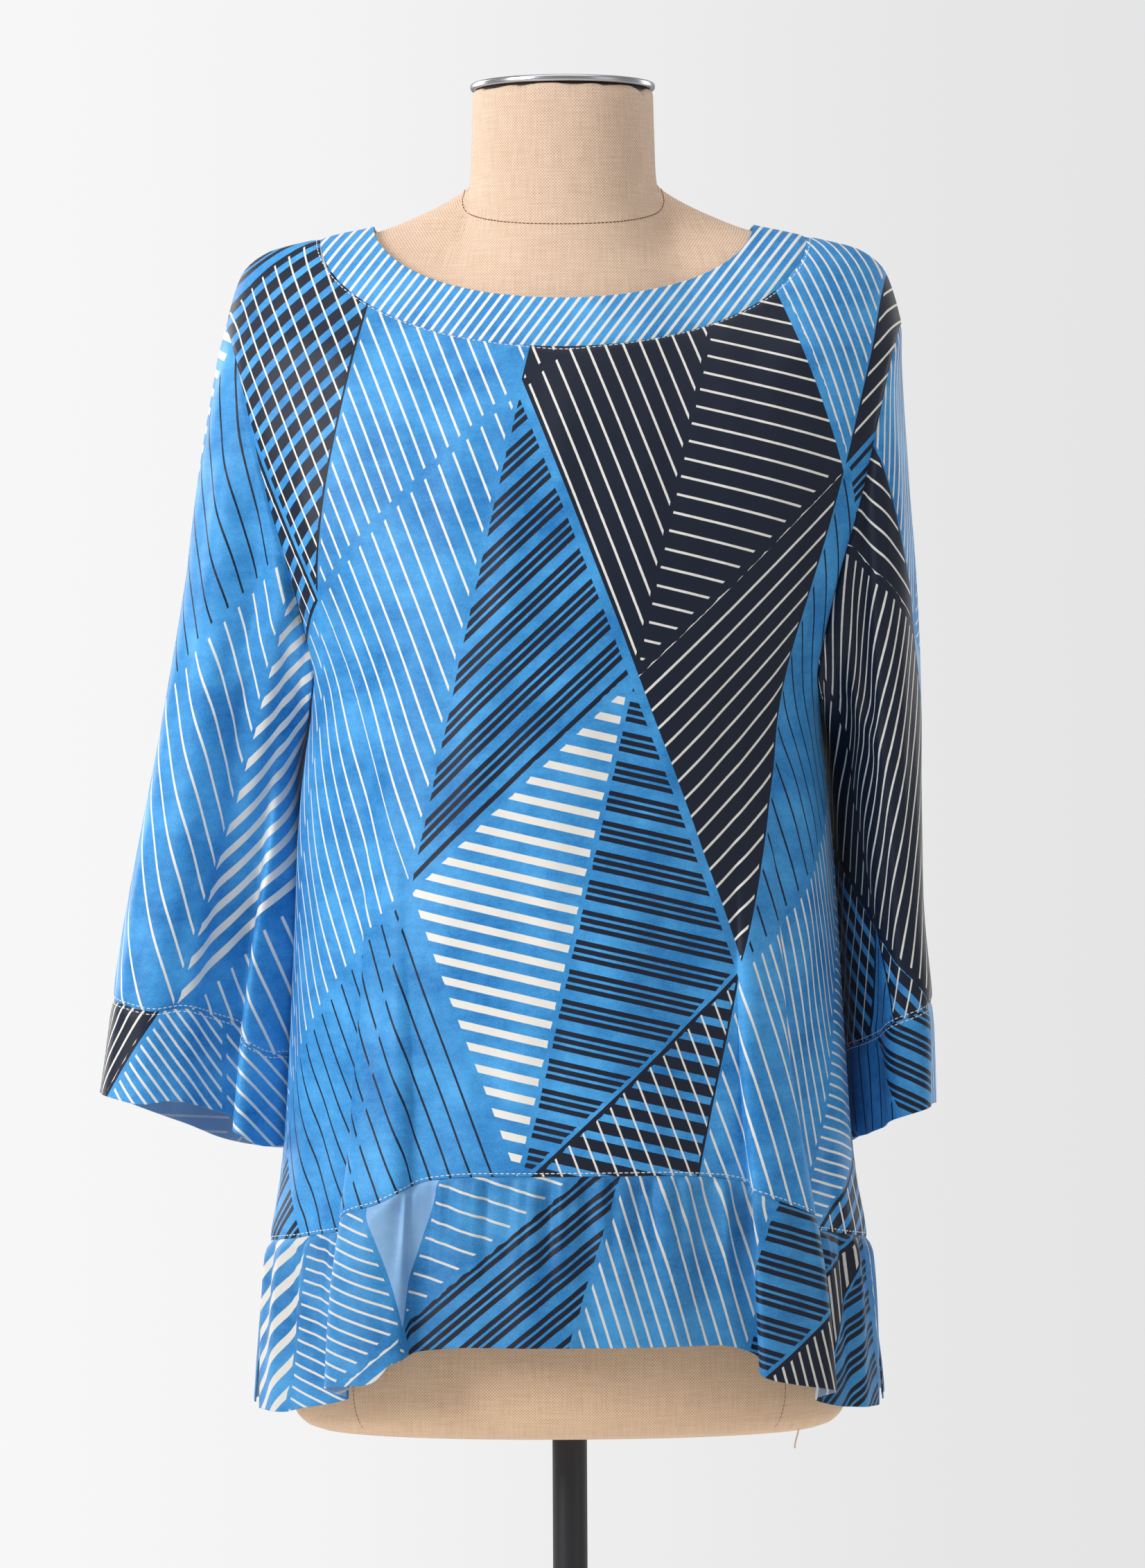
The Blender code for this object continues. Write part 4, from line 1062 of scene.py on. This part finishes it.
class Graph:
    """Adds nodes to a node tree and joins them."""

    def __init__(self, tree):
        self.tree = tree

    def add(self, kind, inputs=None, **settings):
        """A new node's outputs, by name and by number."""
        node = self.tree.nodes.new(kind)
        for key, value in settings.items():
            setattr(node, key, value)
        for key, value in (inputs or {}).items():
            self.feed(node.inputs[key], value)
        found = {}
        for index, socket in enumerate(node.outputs):
            found[index] = found[socket.name] = Signal(self, socket)
        return found

    def feed(self, socket, value):
        if isinstance(value, Signal):
            self.tree.links.new(value.socket, socket)
        else:
            socket.default_value = value

    def math(self, operation, *values, clamp=False):
        inputs = dict(enumerate(values))
        return self.add("ShaderNodeMath", inputs, operation=operation, use_clamp=clamp)[0]

    def mix(self, share, first, second):
        """A colour between two."""
        return self.add("ShaderNodeMix", {0: share, 6: first, 7: second}, data_type="RGBA")[2]

    def mix_number(self, share, first, second):
        return self.add("ShaderNodeMix", {0: share, 2: first, 3: second}, data_type="FLOAT")[0]

    def vector(self, x, y, z=0.0):
        return self.add("ShaderNodeCombineXYZ", {0: x, 1: y, 2: z})[0]

    def split(self, vector):
        found = self.add("ShaderNodeSeparateXYZ", {0: vector})
        return found["X"], found["Y"], found["Z"]

    def noise(self, vector, scale, detail=2.0, roughness=0.5):
        inputs = {"Vector": vector, "Scale": scale, "Detail": detail, "Roughness": roughness}
        return self.add("ShaderNodeTexNoise", inputs)[0]

    def place(self):
        """Where the shaded point is on its piece."""
        return self.add("ShaderNodeTexCoord")["Object"]

    def stretched(self, place, scale):
        return self.add("ShaderNodeMapping", {0: place, 3: scale})[0]

    def use(self, group, **inputs):
        return self.add("ShaderNodeGroup", inputs, node_tree=group)

    def bump(self, shader, strength, distance, height):
        inputs = {"Strength": strength, "Distance": distance, "Height": height}
        self.feed(shader.inputs["Normal"], self.add("ShaderNodeBump", inputs)[0])


NUMBER, VECTOR, COLOUR = "NodeSocketFloat", "NodeSocketVector", "NodeSocketColor"


def new_group(name, inputs, outputs):
    """An empty shader node group, with its graph, what it is given and what it has to make."""
    tree = bpy.data.node_groups.new(name, "ShaderNodeTree")
    for title, kind, *value in inputs:
        socket = tree.interface.new_socket(title, in_out="INPUT", socket_type=kind)
        if value:
            socket.default_value = value[0]
    for title, kind in outputs:
        tree.interface.new_socket(title, in_out="OUTPUT", socket_type=kind)
    graph = Graph(tree)
    return tree, graph, graph.add("NodeGroupInput"), tree.nodes.new("NodeGroupOutput").inputs


def hatch_group():
    """Straight lines a pitch apart: 1 on a line and 0 between, with slightly uneven edges."""
    sizes = [("Pitch", NUMBER, 0.008), ("Width", NUMBER, 0.0015), ("Wobble", NUMBER, 0.0)]
    tree, g, given, made = new_group("hatch", [("Place", NUMBER), *sizes], [("Ink", NUMBER)])
    turns = g.math("FRACT", given["Place"] / given["Pitch"])
    off = abs(turns - 0.5) * given["Pitch"]
    half = given["Width"] * 0.5 + given["Wobble"]
    g.feed(made["Ink"], g.math("ADD", (half - off) / HATCH_EDGE, 0.5, clamp=True))
    return tree


def mottle_group():
    """Watercolour clouds with a fine grain."""
    tree, g, given, made = new_group("mottle", [("Place", VECTOR)], [("Tone", NUMBER)])
    place = given["Place"]
    clouds = g.noise(place, 17.0, 8.0, 0.70)
    streaks = g.noise(g.stretched(place, (60, 240, 1)), 1.0)
    grain = g.noise(place, 900.0, 2.0, 0.6)
    tone = (clouds - 0.5) * 3.0 + 0.5 + (streaks - 0.5) * 0.35
    g.feed(made["Tone"], g.math("ADD", tone, (grain - 0.5) * 0.9, clamp=True))
    return tree


def weave_group():
    """A plain weave: its height, and how light each thread is."""
    given = [("Place", VECTOR), ("Thread", NUMBER, 0.0006), ("Slub", NUMBER, 0.3)]
    tree, g, given, made = new_group("weave", given, [("Height", NUMBER), ("Tone", NUMBER)])
    x, y, _ = g.split(given["Place"])
    turn = g.math("DIVIDE", math.pi, given["Thread"])
    cross = g.math("SINE", x * turn) * g.math("SINE", y * turn)
    height = cross * 0.5 + 0.5
    along, up = x / given["Thread"], y / given["Thread"]
    warp_tone = g.noise(g.vector(along, up * 0.05), 0.9)
    weft_tone = g.noise(g.vector(along * 0.05, up), 0.9)
    slub = (warp_tone + weft_tone - 1.0) * given["Slub"]
    g.feed(made["Height"], height)
    g.feed(made["Tone"], g.math("ADD", height, slub, clamp=True))
    return tree


def print_group(hatch, mottle):
    """The print: tilted diamonds, halved, on clouded blue, navy or pale ground, each hatched."""
    tree, g, given, made = new_group("diamond_print", [("Place", VECTOR)], [("Color", COLOUR)])
    place = given["Place"]
    tilt = {0: place, 2: (0, 0, math.radians(PRINT_TILT))}
    x, y, _ = g.split(g.add("ShaderNodeMapping", tilt)[0])
    wide, tall = x / DIAMOND_WIDTH, y / DIAMOND_HEIGHT
    a, b = wide + tall, wide - tall
    in_a, in_b = g.math("FRACT", a), g.math("FRACT", b)
    row_a, row_b = g.math("FLOOR", a), g.math("FLOOR", b)

    # each diamond is cut in half, and its hatching stops a ragged step short of its edges
    past_half = in_a + in_b - 1.0
    nearest = abs(past_half)
    for share in (in_a, in_b):
        nearest = g.math("MINIMUM", nearest, g.math("MINIMUM", share, 1.0 - share))
    well_inside = nearest > g.noise(place, 130.0) * 0.020 + 0.004

    # what each half looks like is drawn by lot
    cell = g.vector(row_a, row_b, (past_half > 0.0) + PRINT_SEED)
    chance = g.add("ShaderNodeTexWhiteNoise", {0: cell}, noise_dimensions="3D")
    style, lots = chance["Value"], g.split(chance["Color"])
    side = DIAMOND_WIDTH * DIAMOND_HEIGHT / math.hypot(DIAMOND_WIDTH, DIAMOND_HEIGHT)
    along_a, along_b = a * side, b * side
    swap = lots[0] > SWAPPED_OVER
    first = g.mix_number(lots[1] > LEVEL_OVER, g.mix_number(swap, along_a, along_b), y)
    second = g.mix_number(swap, along_b, along_a)
    finest, coarsest = HAIRLINE_PITCHES
    fine_pitch = lots[2] * (coarsest - finest) + finest
    wobble = (g.noise(place, 260.0) - 0.5) * HATCH_WOBBLE

    def hatched(where, pitch, width):
        inked = g.use(hatch, Place=where, Pitch=pitch, Width=width, Wobble=wobble)
        return inked["Ink"] * well_inside

    tone = g.use(mottle, Place=place)["Tone"]
    blue = g.mix(tone, BLUE_DEEP, BLUE_LIGHT)
    pale = g.mix(tone, BLUE_PALE, BLUE_PALEST)
    hairlines = hatched(first, fine_pitch, HAIRLINE_WIDTH)
    in_threes = g.math("FRACT", first / (4 * BARS[0])) < 0.75
    bars = hatched(first, *BARS) * in_threes
    stripes = hatched(first, *STRIPES)
    found = g.mix(hairlines, blue, CREAM)
    for above, look in (
        (0.36, g.mix(hairlines, NAVY, CREAM)),
        (0.57, g.mix(bars, blue, NAVY)),
        (0.69, g.mix(hatched(second, *NAVY_LINES), blue, NAVY)),
        (0.79, g.mix(hatched(second, *CROSSING), g.mix(stripes, NAVY, blue), CREAM)),
        (0.87, g.mix(stripes, blue, CREAM)),
        (0.95, pale),
    ):
        found = g.mix(style > above, found, look)

    # narrow blue ribbons run between some rows of diamonds
    chosen = g.add("ShaderNodeTexWhiteNoise", {"W": row_a}, noise_dimensions="1D")["Value"]
    off_ribbon = abs(in_a - 0.5) < 0.5 - RIBBON_WIDTH
    ribbon = (1.0 - off_ribbon) * (chosen > RIBBON_OVER)
    g.feed(made["Color"], g.mix(ribbon, found, blue))
    return tree


def darker(colour, share):
    return tuple(channel * share for channel in colour[:3]) + (1,)


def new_material(name, roughness, metallic=0.0, **constants):
    """A material with its shader, and its graph."""
    made = bpy.data.materials.new(name)
    made.use_nodes = True
    shader = made.node_tree.nodes["Principled BSDF"]
    for title, value in {"Roughness": roughness, "Metallic": metallic, **constants}.items():
        shader.inputs[title.replace("_", " ")].default_value = value
    return made, shader, Graph(made.node_tree)


def cloth_finish(name, weave, colour, roughness, shade=1.0):
    """Woven cloth with a soft sheen; colour gives its print from the graph and the print place."""
    made, shader, g = new_material(
        name, roughness, Sheen_Weight=0.06, Sheen_Roughness=0.4, Specular_IOR_Level=0.32
    )
    place = g.add("ShaderNodeUVMap", uv_map="Print")[0]
    woven = g.use(weave, Place=place, Thread=CLOTH_THREAD, Slub=0.5)
    shaded = g.mix_number(woven["Tone"], 0.90 * shade, 1.06 * shade)
    tinted = g.add("ShaderNodeHueSaturation", {"Value": shaded, "Color": colour(g, place)})
    g.feed(shader.inputs["Base Color"], tinted[0])
    crinkle = g.noise(place, 120.0, 4.0, 0.6)
    g.bump(shader, 0.25, 0.0006, woven["Height"] * 0.12 + crinkle)
    return made


def linen_finish(weave):
    """Coarse undyed linen, drawn tight."""
    made, shader, g = new_material("linen", 0.85, Sheen_Weight=0.12, Sheen_Roughness=0.6)
    place = g.add("ShaderNodeUVMap", uv_map="Cloth")[0]
    woven = g.use(weave, Place=place, Thread=LINEN_THREAD, Slub=0.55)
    clouds = g.noise(place, 9.0, 3.0)
    tone = woven["Tone"] + (clouds - 0.5) * 0.10
    tone = g.math("ADD", tone * 0.8, 0.12, clamp=True)
    # Painted bounce light: towards the bottom the linen is drawn warmer and a little brighter,
    # standing in for warm light bounced under the shirt.
    spread = {0: g.split(g.place())[2], 1: PAINTED_BOUNCE_FROM, 2: PAINTED_BOUNCE_AT, 3: 0.0, 4: 1.0}
    low = g.add("ShaderNodeMapRange", spread)[0]
    tone = g.math("ADD", tone, low * 0.12, clamp=True)
    cooler_linen = g.mix(tone, LINEN_DARK, LINEN_LIGHT)
    painted_bounce = g.mix(tone, PAINTED_BOUNCE_DARK, PAINTED_BOUNCE_LIGHT)
    g.feed(shader.inputs["Base Color"], g.mix(low, cooler_linen, painted_bounce))
    g.bump(shader, 0.5, 0.0004, woven["Height"])
    return made


def steel_finish():
    """Satin steel, brushed round its edge."""
    made, shader, g = new_material("steel", 0.24, 1.0)
    grain = g.noise(g.stretched(g.place(), (40, 40, 2600)), 1.0, 3.0)
    g.feed(shader.inputs["Base Color"], g.mix(grain, darker(STEEL, 0.82), STEEL))
    g.feed(shader.inputs["Roughness"], g.mix_number(grain, 0.18, 0.34))
    return made


def paint_finish():
    """Satin black paint with a fine orange-peel texture."""
    made, shader, g = new_material("black_paint", 0.36, Specular_IOR_Level=0.5)
    place = g.place()
    smears = g.noise(place, 14.0, 3.0)
    g.feed(shader.inputs["Base Color"], g.mix(smears, BLACK_PAINT, BLACK_WORN))
    g.feed(shader.inputs["Roughness"], g.mix_number(smears, 0.30, 0.44))
    g.bump(shader, 0.15, 0.0003, g.noise(place, 420.0, 3.0))
    return made


def plain_finish(name, colour, roughness):
    """A thread or a plain stuff, lighter and darker along it."""
    made, shader, g = new_material(name, roughness)
    tone = g.noise(g.place(), 1500.0)
    g.feed(shader.inputs["Base Color"], g.mix(tone, darker(colour, 0.7), colour))
    return made


def make_finishes():
    """Every material of the object, by name."""
    hatch, mottle, weave = hatch_group(), mottle_group(), weave_group()
    diamonds = print_group(hatch, mottle)

    def printed(g, place):
        return g.use(diamonds, Place=place)[0]

    def striped(g, place):
        x, y, _ = g.split(place)
        pitch, width = NECKBAND_STRIPES
        lines = g.use(hatch, Place=x * 0.80 - y * 0.60, Pitch=pitch, Width=width)
        blue = g.mix(g.use(mottle, Place=place)["Tone"], BLUE_DEEP, BLUE_LIGHT)
        return g.mix(lines["Ink"], blue, CREAM)

    def reverse_of(look):
        return lambda g, place: g.mix(0.55, look(g, place), REVERSE)

    return {
        "print": cloth_finish("printed_cloth", weave, printed, 0.52),
        "print_reverse": cloth_finish("printed_cloth_reverse", weave, reverse_of(printed), 0.7),
        # The hem band is drawn darker: partly its own tone, partly painted shade.
        "band": cloth_finish("hem_band_cloth", weave, printed, 0.52, BAND_TONE_AND_SHADE),
        "neckband": cloth_finish("neckband_cloth", weave, striped, 0.52),
        "neckband_reverse": cloth_finish("neckband_reverse", weave, reverse_of(striped), 0.7),
        "linen": linen_finish(weave),
        "steel": steel_finish(),
        "black": paint_finish(),
        "white_thread": plain_finish("white_thread", WHITE_THREAD, 0.6),
        "brown_thread": plain_finish("brown_thread", BROWN_THREAD, 0.8),
        "tan_thread": plain_finish("tan_thread", TAN_THREAD, 0.8),
        "linen_thread": plain_finish("linen_thread", LINEN_LIGHT, 0.8),
        "core": plain_finish("neck_core", CORE_SHADOW, 0.8),
    }


def make_torso(finishes):
    """Front and back, their neckbands and hem bands. Returns their grids."""
    grids = {}
    for side, word in ((FRONT, "front"), (BACK, "back")):
        columns = crowded(side)
        neckband, band = f"neckband_{word}", f"hem_band_{word}"
        for name, surface, rows, length, sewn, face, reverse in (
            (word, body_surface, body_rows(), BODY_LENGTH, tuple(EDGES), "print", "print"),
            (neckband, neckband_surface, even(ROWS_NECKBAND), NECKBAND_LENGTH,
             ("bottom", "left", "right"), "neckband", "neckband"),
            (band, band_surface, even(ROWS_BAND), BAND_LENGTH, ("top",), "band", "print"),
        ):
            rows = beside_edges(rows, length)
            grid = torso_grid(surface, side, columns, rows)
            creased = crease_relief(name, grid[..., 0], grid[..., 2])
            made = finished_grid(grid, dict.fromkeys(sewn, SEAM_PULL), creased)
            grids[name] = made
            if name == neckband:
                flat = -side * made[..., 0], made[..., 2]
            elif name == band:
                flat = body_places(side, torso_grid(ungathered_band, side, columns, rows))
            else:
                flat = body_places(side, made)
            looks = [finishes[face], finishes[f"{reverse}_reverse"]]
            slot = "neckband_cloth" if name == neckband else "printed_cloth"
            flat = on_the_print(name, *flat)
            sheet_of_cloth(name, made, flat, False, looks, slot)
    return grids


def make_sleeves(finishes):
    """Both sleeves with their cuffs. Returns their grids."""
    grids = {}
    looks = [finishes["print"], finishes["print_reverse"]]
    for arm, word in ((WEARER_LEFT, "left"), (WEARER_RIGHT, "right")):
        for kind, top, bottom, count, length in (
            ("sleeve", 0, CUFF_SEAM_SHARE, ROWS_SLEEVE, SLEEVE_LENGTH),
            ("cuff", CUFF_SEAM_SHARE, 1, ROWS_CUFF, CUFF_LENGTH),
        ):
            name = f"{kind}_{word}"
            rows = beside_edges(even(count), length)
            grid, around = sleeve_grid(arm, top, bottom, rows)
            creased = crease_relief(name, around / 360 * SLEEVE_GIRTH, grid[..., 2])
            seams = {"top": SEAM_PULL}
            if kind == "sleeve":
                under = np.sin(np.radians(around[-1] / 2)) ** 6
                pull = ARMHOLE_PULL + (UNDERARM_PULL - ARMHOLE_PULL) * under
                seams = {"bottom": SEAM_PULL, "top": pull[:, None]}
            made = finished_grid(grid, seams, creased, closed=True)
            grids[name] = made
            flat = on_the_print(name, *sleeve_places(made, around))
            sheet_of_cloth(name, made, flat, True, looks, "printed_cloth")
    return grids


def make_topstitching(grids, finishes):
    """Rows of topstitching beside the neckband seam, the hem-band seam and the cuff seams."""
    size = (STITCH_LENGTH, STITCH_WIDTH, STITCH_HEIGHT)
    raised = CLOTH / 2 + STITCH_HEIGHT * 0.2
    finish = finishes["white_thread"]
    rows = {
        "neck": (TOPSTITCH_AWAY, {"front": "top", "back": "top"}),
        "hem": (TOPSTITCH_AWAY, {"front": "bottom", "back": "bottom"}),
        "cuff_left": (CUFF_STITCH_AWAY, {"sleeve_left": "bottom", "cuff_left": "top"}),
        "cuff_right": (CUFF_STITCH_AWAY, {"sleeve_right": "bottom", "cuff_right": "top"}),
    }
    for name, (away, edges) in rows.items():
        lines = [
            line_beside(grids[piece], edge, away, piece.startswith(("sleeve", "cuff")))
            for piece, edge in edges.items()
        ]
        name = f"{name}_topstitch"
        stitches(name, lines, raised, size, STITCH_PITCH, finish, "printed_cloth")


def make_loose_thread(finishes):
    """A thread end that hangs from a side panel's seam at the bottom of the form."""
    thread = new_piece(
        bpy.ops.mesh.primitive_cylinder_add,
        "loose_thread",
        [finishes["linen_thread"]],
        "linen",
        vertices=8,
        radius=0.0005,
        depth=LOOSE_THREAD_LENGTH,
        location=LOOSE_THREAD,
    )
    with editing():
        bpy.ops.mesh.subdivide(number_cuts=5)
    for vert in thread.data.vertices:
        vert.co.x += 0.0012 * math.sin(260 * vert.co.z)
        vert.co.y += 0.0009 * math.sin(190 * vert.co.z + 1)
    settle(thread)
    thread.data.shade_smooth()


def scalloped_edge(turns):
    """Height of the linen's uneven edge round the neck's top."""
    waves = 0.5 + 0.5 * np.abs(np.sin(4.5 * turns + 0.6 * np.sin(3 * turns))) ** 0.6
    lumps = 0.25 * np.sin(7 * turns + 1.0) + 0.15 * np.sin(13 * turns)
    return SCALLOP_LOW + (SCALLOP_HIGH - SCALLOP_LOW) * np.clip(waves + lumps * 0.6, 0, 1)


def form_rows():
    heights = [row.height for row in FORM_SECTIONS]
    steps = np.arange((len(heights) - 1) * FORM_ROWS_EACH + 1) / FORM_ROWS_EACH
    return np.interp(steps, np.arange(len(heights)), heights)


def form_ring(height, turns):
    """Points round the form at a height, from the centre back by the wearer's right."""
    section = form_section(height)
    half_width = np.maximum(section.half_width, section.round_half_width)
    x = half_width * -np.sin(turns)
    front, back = depth_at(section, x, FRONT), depth_at(section, x, BACK)
    return stacked(x, np.where(np.cos(turns) >= 0, back, front), height)


def form_grid():
    """The linen cover, from the hip up to its gathered edge under the neck plate."""
    turns = np.linspace(0, math.tau, FORM_COLUMNS + 1)
    rows = [form_ring(np.full_like(turns, height), turns) for height in form_rows()]
    edge = scalloped_edge(turns)
    for radius, below in TURNED_IN:
        rows.append(stacked(-radius * np.sin(turns), radius * np.cos(turns), edge - below))
    return np.array(rows)


def make_form(finishes):
    """The linen-covered form, its sewn seams and the core of its neck, coloured as painted shadow.
    """
    grid = form_grid()
    middle = grid.shape[1] // 2
    along = steps_along(grid, 1)
    places = stacked(along - along[:, [middle]], steps_along(grid, 0)[:, [middle]])
    cover = grid_piece("form_cover", grid, places, "Cloth", [finishes["linen"]], "linen")
    with editing():
        bpy.ops.mesh.remove_doubles(threshold=JOINED_WITHIN)
        bpy.ops.mesh.select_all(action="DESELECT")
        bpy.ops.mesh.select_non_manifold()
        bpy.ops.mesh.edge_face_add()
        bpy.ops.mesh.select_all(action="SELECT")
        bpy.ops.mesh.normals_make_consistent(inside=False)
    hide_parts("form")
    make_form_seams(finishes)
    make_loose_thread(finishes)
    # Painted shadow: a dark core fills the gap between the linen's edge and the neck plate.
    core = finishes["core"]
    settle(upright_cylinder("neck_core", CORE_RADIUS, CORE_BOTTOM, CORE_TOP, core, "linen", 96))


def make_form_seams(finishes):
    """The sewn seams of the cover: round the base of the neck, and down each side panel."""
    turns = np.linspace(0, math.tau, 241)
    to_side = np.abs(np.sin(turns)) ** 2.2
    low = np.where(np.cos(turns) >= 0, NECK_SEAM_BACK, NECK_SEAM_FRONT)
    neck = form_ring(low + (NECK_SEAM_SIDE - low) * to_side, turns)
    outs = unit(neck * (1, 1, 0) + (0, 0, 0.02))
    panels = []
    height = np.linspace(PANEL_SEAM_BOTTOM, PANEL_SEAM_TOP, 90)
    section = form_section(height)
    for side in (FRONT, BACK):
        for arm in (WEARER_LEFT, WEARER_RIGHT):
            x = arm * PRINCESS_AT * section.half_width
            line = stacked(x, depth_at(section, x, side), height)
            panels.append((line, unit(line * (1, 1, 0))))
    for name, lines, thread in (
        ("neck_seam", [(neck, outs)], "brown_thread"),
        ("panel_seams", panels, "tan_thread"),
    ):
        stitches(name, lines, 0.0, FORM_STITCH, FORM_PITCH, finishes[thread], "linen")


def upright_cylinder(name, radius, bottom, top, finish, slot, sides):
    """A cylinder on the Z axis."""
    sizes = {"vertices": sides, "radius": radius, "depth": top - bottom}
    middle = (0, 0, (bottom + top) / 2)
    add = bpy.ops.mesh.primitive_cylinder_add
    return new_piece(add, name, [finish], slot, location=middle, **sizes)


def make_stand(finishes):
    """The neck plate, the pole and the base, turned plates and bars with rounded edges."""
    for name, node, radius, bottom, top, edge, finish, slot, sides in (
        ("neck_plate", "neck_cap", CAP_RADIUS, CAP_BOTTOM, CAP_TOP, 0.0016, "steel", "steel", 128),
        ("stand_pole", "pole", POLE_RADIUS, POLE_BOTTOM, POLE_TOP, 0.0008, "black", PAINT, 64),
        ("stand_base", "base", BASE_RADIUS, 0.0, BASE_TOP, 0.0030, "black", PAINT, 128),
    ):
        piece = upright_cylinder(name, radius, bottom, top, finishes[finish], slot, sides)
        with editing():
            bpy.ops.mesh.select_all(action="DESELECT")
            bpy.ops.mesh.select_mode(type="FACE")
        for face in piece.data.polygons:
            face.select = abs(face.normal.z) > 0.9
        bpy.ops.object.mode_set(mode="EDIT")
        bpy.ops.mesh.bevel(offset=edge, segments=5, profile=0.5, affect="EDGES")
        bpy.ops.object.mode_set(mode="OBJECT")
        settle(piece)
        bpy.ops.object.shade_smooth_by_angle(angle=math.radians(40))
        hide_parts(node)


# The studio
PHOTO_HEIGHT = 2263  # pixels
METRES_PER_PIXEL = 0.433e-3  # at the pole's axis
CAMERA_DISTANCE = 3.9
CAMERA_HEIGHT = 1.05
CAMERA_X = 0.0039
CAMERA_ROLL = 0.3
SENSOR = 36.0

Lamp = namedtuple("Lamp", "name x y z width height watts")
LAMPS = rows_of(
    Lamp,
    ("key_left", -2.4, -1.7, 2.2, 1.3, 1.7, 74),
    ("back_left", -1.8, 1.5, 1.7, 1.0, 1.8, 30),
    ("fill_right", 2.3, -1.7, 1.6, 1.4, 2.0, 5),
    ("back_right", 1.9, 1.5, 1.6, 0.9, 1.8, 12),
    ("overhead", 0.0, -0.6, 3.1, 2.0, 2.0, 18),
)
LAMP_TARGET = (0.0, 0.0, 1.10)
BACKDROP_LEFT, BACKDROP_RIGHT = 0.935, 0.775
BACKDROP_REACH = 0.11
WORLD_LIGHT = 0.34


def make_studio():
    """A pale floor, soft lamps, and the camera straight in front."""
    bpy.ops.mesh.primitive_plane_add(size=6.0, location=(0, 0, 0))
    floor = bpy.context.object
    floor.name = "floor"
    white = {"Emission_Color": (1.0, 1.0, 1.0, 1), "Emission_Strength": FLOOR_GLOW}
    made, shader, g = new_material("floor_paper", 0.7, **white)
    tone = g.noise(g.place(), 3.0, 3.0)
    g.feed(shader.inputs["Base Color"], g.mix(tone, darker(FLOOR, 0.97), FLOOR))
    floor.data.materials.append(made)

    scene = bpy.context.scene
    for lamp in LAMPS:
        light = bpy.data.lights.new(lamp.name, "AREA")
        light.shape = "RECTANGLE"
        light.size, light.size_y = lamp.width, lamp.height
        light.energy = lamp.watts
        holder = bpy.data.objects.new(lamp.name, light)
        scene.collection.objects.link(holder)
        holder.location = (lamp.x, lamp.y, lamp.z)
        towards = Vector(LAMP_TARGET) - holder.location
        holder.rotation_euler = towards.to_track_quat("-Z", "Y").to_euler()
        holder.visible_camera = False

    scene.world = world = bpy.data.worlds.new("pale_studio")
    world.use_nodes = True
    g = Graph(world.node_tree)
    ground = world.node_tree.nodes["Background"]
    seen = g.add("ShaderNodeLightPath")["Is Camera Ray"]
    spread = {0: g.split(g.add("ShaderNodeTexCoord")["Generated"])[0]}
    spread |= {1: -BACKDROP_REACH, 2: BACKDROP_REACH, 3: BACKDROP_LEFT, 4: BACKDROP_RIGHT}
    backdrop = g.add("ShaderNodeMapRange", spread, interpolation_type="SMOOTHSTEP")[0]
    g.feed(ground.inputs["Strength"], g.mix_number(seen, WORLD_LIGHT, backdrop))
    ground.inputs["Color"].default_value = (1.0, 1.0, 1.003, 1)

    camera = bpy.data.cameras.new("camera")
    camera.sensor_fit = "VERTICAL"
    camera.sensor_height = SENSOR
    camera.lens = SENSOR * CAMERA_DISTANCE / (PHOTO_HEIGHT * METRES_PER_PIXEL)
    camera.clip_start, camera.clip_end = 0.05, 50
    holder = bpy.data.objects.new("camera", camera)
    scene.collection.objects.link(holder)
    holder.location = (CAMERA_X, -CAMERA_DISTANCE, CAMERA_HEIGHT)
    holder.rotation_euler = (math.pi / 2, math.radians(CAMERA_ROLL), 0)
    scene.camera = holder
    scene.view_settings.view_transform = "Standard"


finishes = make_finishes()
make_form(finishes)
make_stand(finishes)
grids = make_torso(finishes) | make_sleeves(finishes)
make_topstitching(grids, finishes)
make_studio()
